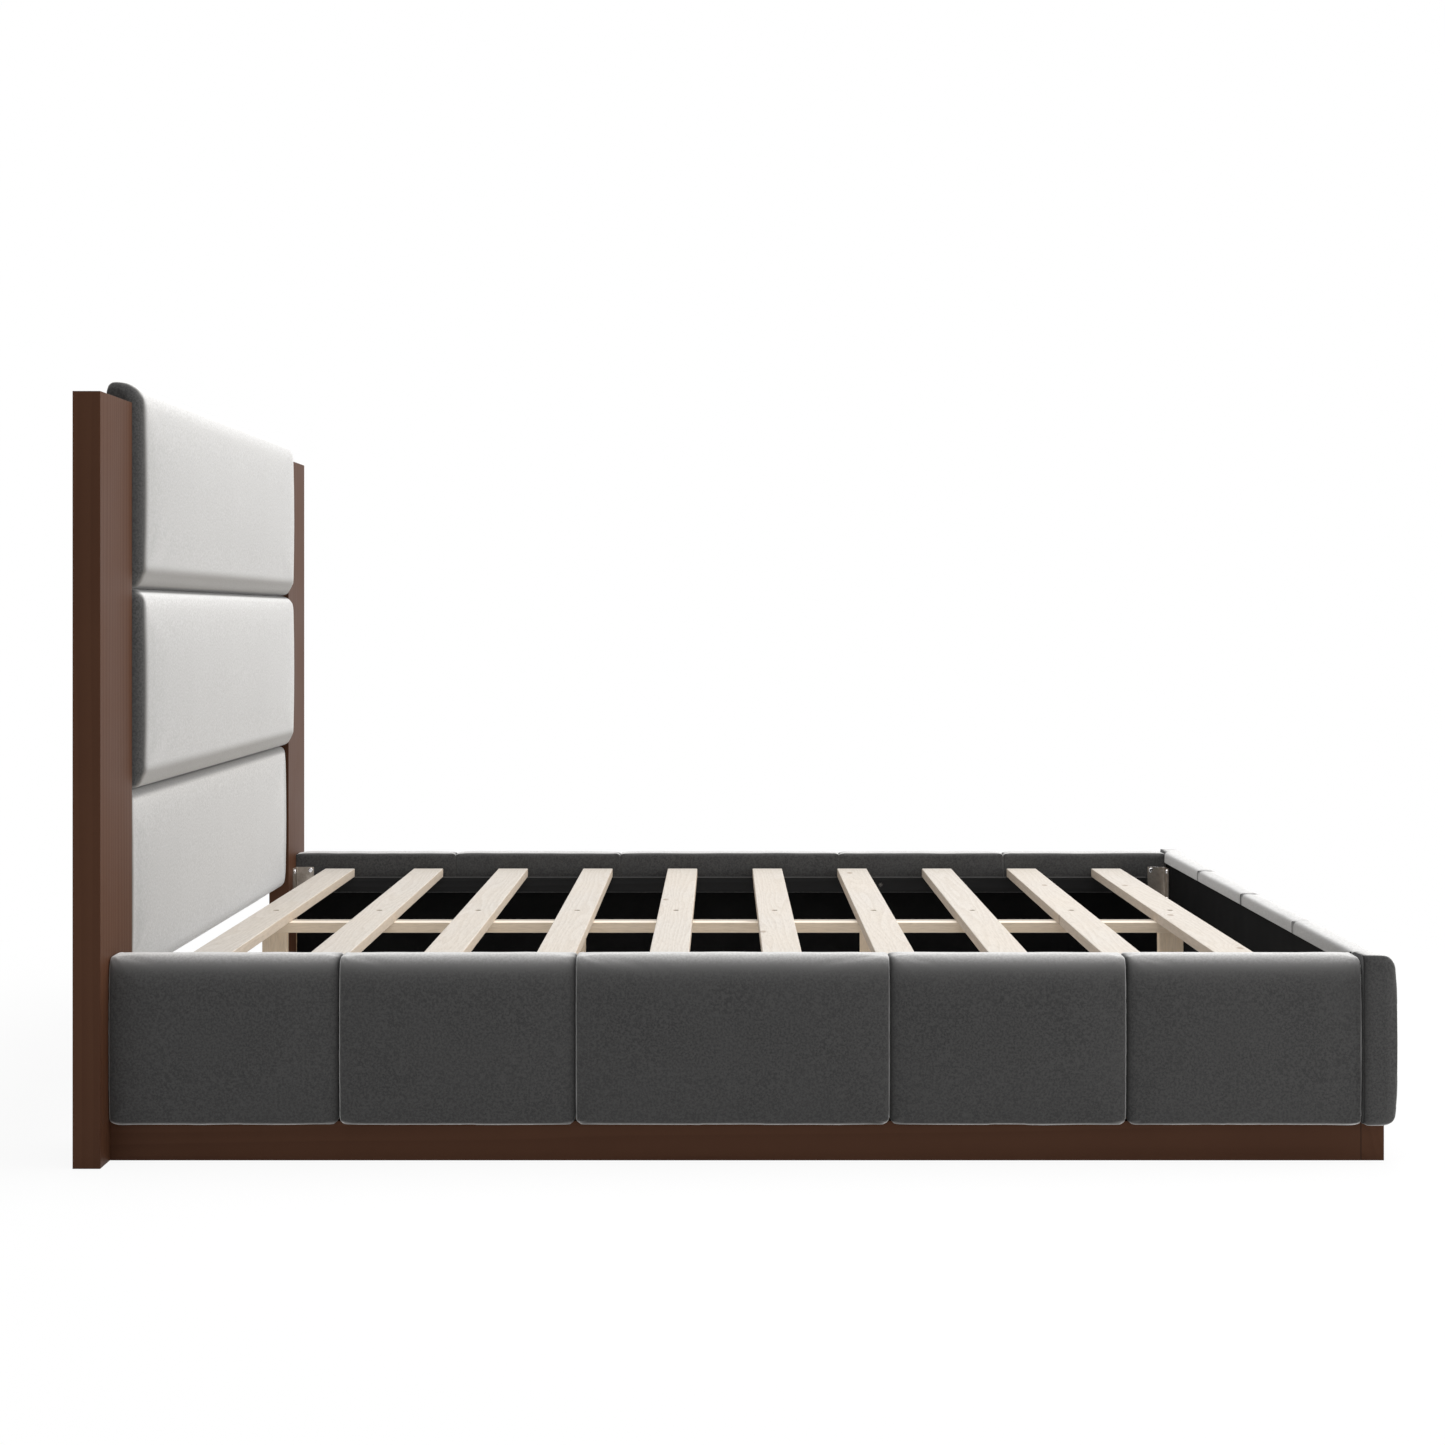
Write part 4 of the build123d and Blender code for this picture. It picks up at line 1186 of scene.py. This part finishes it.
def staple_places(size, all_round):
    """Places along a sheet's bottom edge, or all four, with each staple's turn."""
    wide, tall = size
    places = []
    for x in along_edge(wide):
        places += [(x, staple_inset, 0), (x, tall - staple_inset, 0)][:1 + all_round]
    if all_round:
        for y in along_edge(tall)[1:-1]:
            places += [(staple_inset, y, math.pi / 2), (wide - staple_inset, y, math.pi / 2)]
    return places


def place_staples(name, places, low, plane, base, sign, chance):
    """Copies of the staple on a sheet, joined into one piece."""
    u, v, n = plane
    copies = []
    for x, y, turn in places:
        copies.append(copy_of(staple_shape, "staple_copy"))
        shape = points_of(copies[-1])
        angle = turn + math.radians(chance.uniform(-7, 7))
        points = np.empty_like(shape)
        points[:, u] = low[u] + x + shape[:, 0] * math.cos(angle) - shape[:, 1] * math.sin(angle)
        points[:, v] = low[v] + y + shape[:, 0] * math.sin(angle) + shape[:, 1] * math.cos(angle)
        points[:, n] = base + sign * shape[:, 2]
        set_points(copies[-1], points)
    select_only(copies[0])
    for copy in copies:
        copy.select_set(True)
    bpy.ops.object.join()
    piece = bpy.context.object
    piece.name = name
    with editing(piece):
        bpy.ops.mesh.normals_make_consistent(inside=False)
    piece.data.materials.append(staple_wire)
    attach(piece, "root")
    return piece


print("staples along a metre:", len(along_edge(1)))


# %% A stapled sheet
def stapled_sheet(name, source, plane, board, sign, lift, all_round, seed):
    """A lining over a frame node's own area. plane gives the axes along, up and out of the sheet."""
    chance = np.random.default_rng(seed)
    low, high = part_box(source)
    u, v, n = plane
    size = (high[u] - low[u], high[v] - low[v])
    cell, thick = 7 * MM, 0.4 * MM
    bpy.ops.object.select_all(action="DESELECT")
    bpy.ops.mesh.primitive_grid_add(x_subdivisions=round(size[0] / cell),
                                    y_subdivisions=round(size[1] / cell), size=1)
    piece = bpy.context.object
    piece.name = name
    flat = points_of(piece)
    across, up = (flat[:, 0] + 0.5) * size[0], (flat[:, 1] + 0.5) * size[1]
    places = staple_places(size, all_round)
    held = np.min([np.hypot(across - x, up - y) for x, y, _ in places], axis=0)
    if not all_round:
        held = np.minimum(held, size[1] - up)
    pull_turn = np.arctan2(up - staple_inset, across - staple_inset)
    puckers = np.sin(14 * pull_turn) * np.exp(-held / (30 * MM)) * 0.25
    ripples = 0.5 + 0.25 * waves(chance, across, 0.05, 0.16, 4) + 0.25 * waves(chance, up, 0.05, 0.12, 4)
    hem = fall(np.minimum.reduce([across, size[0] - across, up, size[1] - up]), 14 * MM, 17 * MM)
    lifted = lift * rise(held, 3 * MM, 38 * MM) * np.clip(ripples + puckers, 0, 1.2)
    points = np.empty_like(flat)
    points[:, u], points[:, v] = low[u] + across, low[v] + up
    points[:, n] = board + sign * (thick + 0.25 * MM * hem + lifted)
    set_points(piece, points)
    if piece.data.polygons[0].normal[n] * sign < 0:
        piece.data.flip_normals()
    apply_modifier(piece, "SOLIDIFY", thickness=thick * 0.9, offset=-1)
    piece.data.materials.append(black_lining)
    bpy.ops.object.shade_smooth_by_angle(angle=math.radians(50))
    staples = place_staples(name + "_staples", places, low, plane, board + sign * (thick + 0.2 * MM),
                            sign, chance)
    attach(piece, "root")
    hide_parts(source)
    print(name, len(piece.data.vertices), "points,", len(places), "staples")
    return piece, staples, size


# %% Linings of the rails and covers of the headboard
sheets = {}
side_board, foot_board, back_board = rail_high.y, foot_low.x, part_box("headboard_board_lower")[0].x
rows = [("lining_cloth_left", "lining_left", (0, 2, 1), side_board, 1, 0.5 * MM, "side_rail_left"),
        ("lining_cloth_right", "lining_right", (0, 2, 1), -side_board, -1, 0.5 * MM, "side_rail_right"),
        ("lining_cloth_foot", "lining_foot", (1, 2, 0), foot_board, -1, 0.5 * MM, "foot_rail")]
rows += [("back_cloth_" + level, "headboard_cover_" + level, (1, 2, 0), back_board, -1, 0.3 * MM,
          "headboard_board_" + level) for level in ("lower", "middle", "upper")]
for name, source, plane, board, sign, lift, rests_on in rows:
    piece, staples, size = stapled_sheet(name, source, plane, board, sign, lift, name.startswith("back"),
                                         100 + len(sheets))
    sheets[name] = size
bpy.data.objects.remove(staple_shape)
print("sheets:", {name: [round(s, 4) for s in size] for name, size in sheets.items()})


# %% [markdown] ## Finish The picture is drawn with the Standard view transform.
# The finished bed has to stay as large as its frame.

# %% Finish
bpy.context.scene.view_settings.view_transform = "Standard"
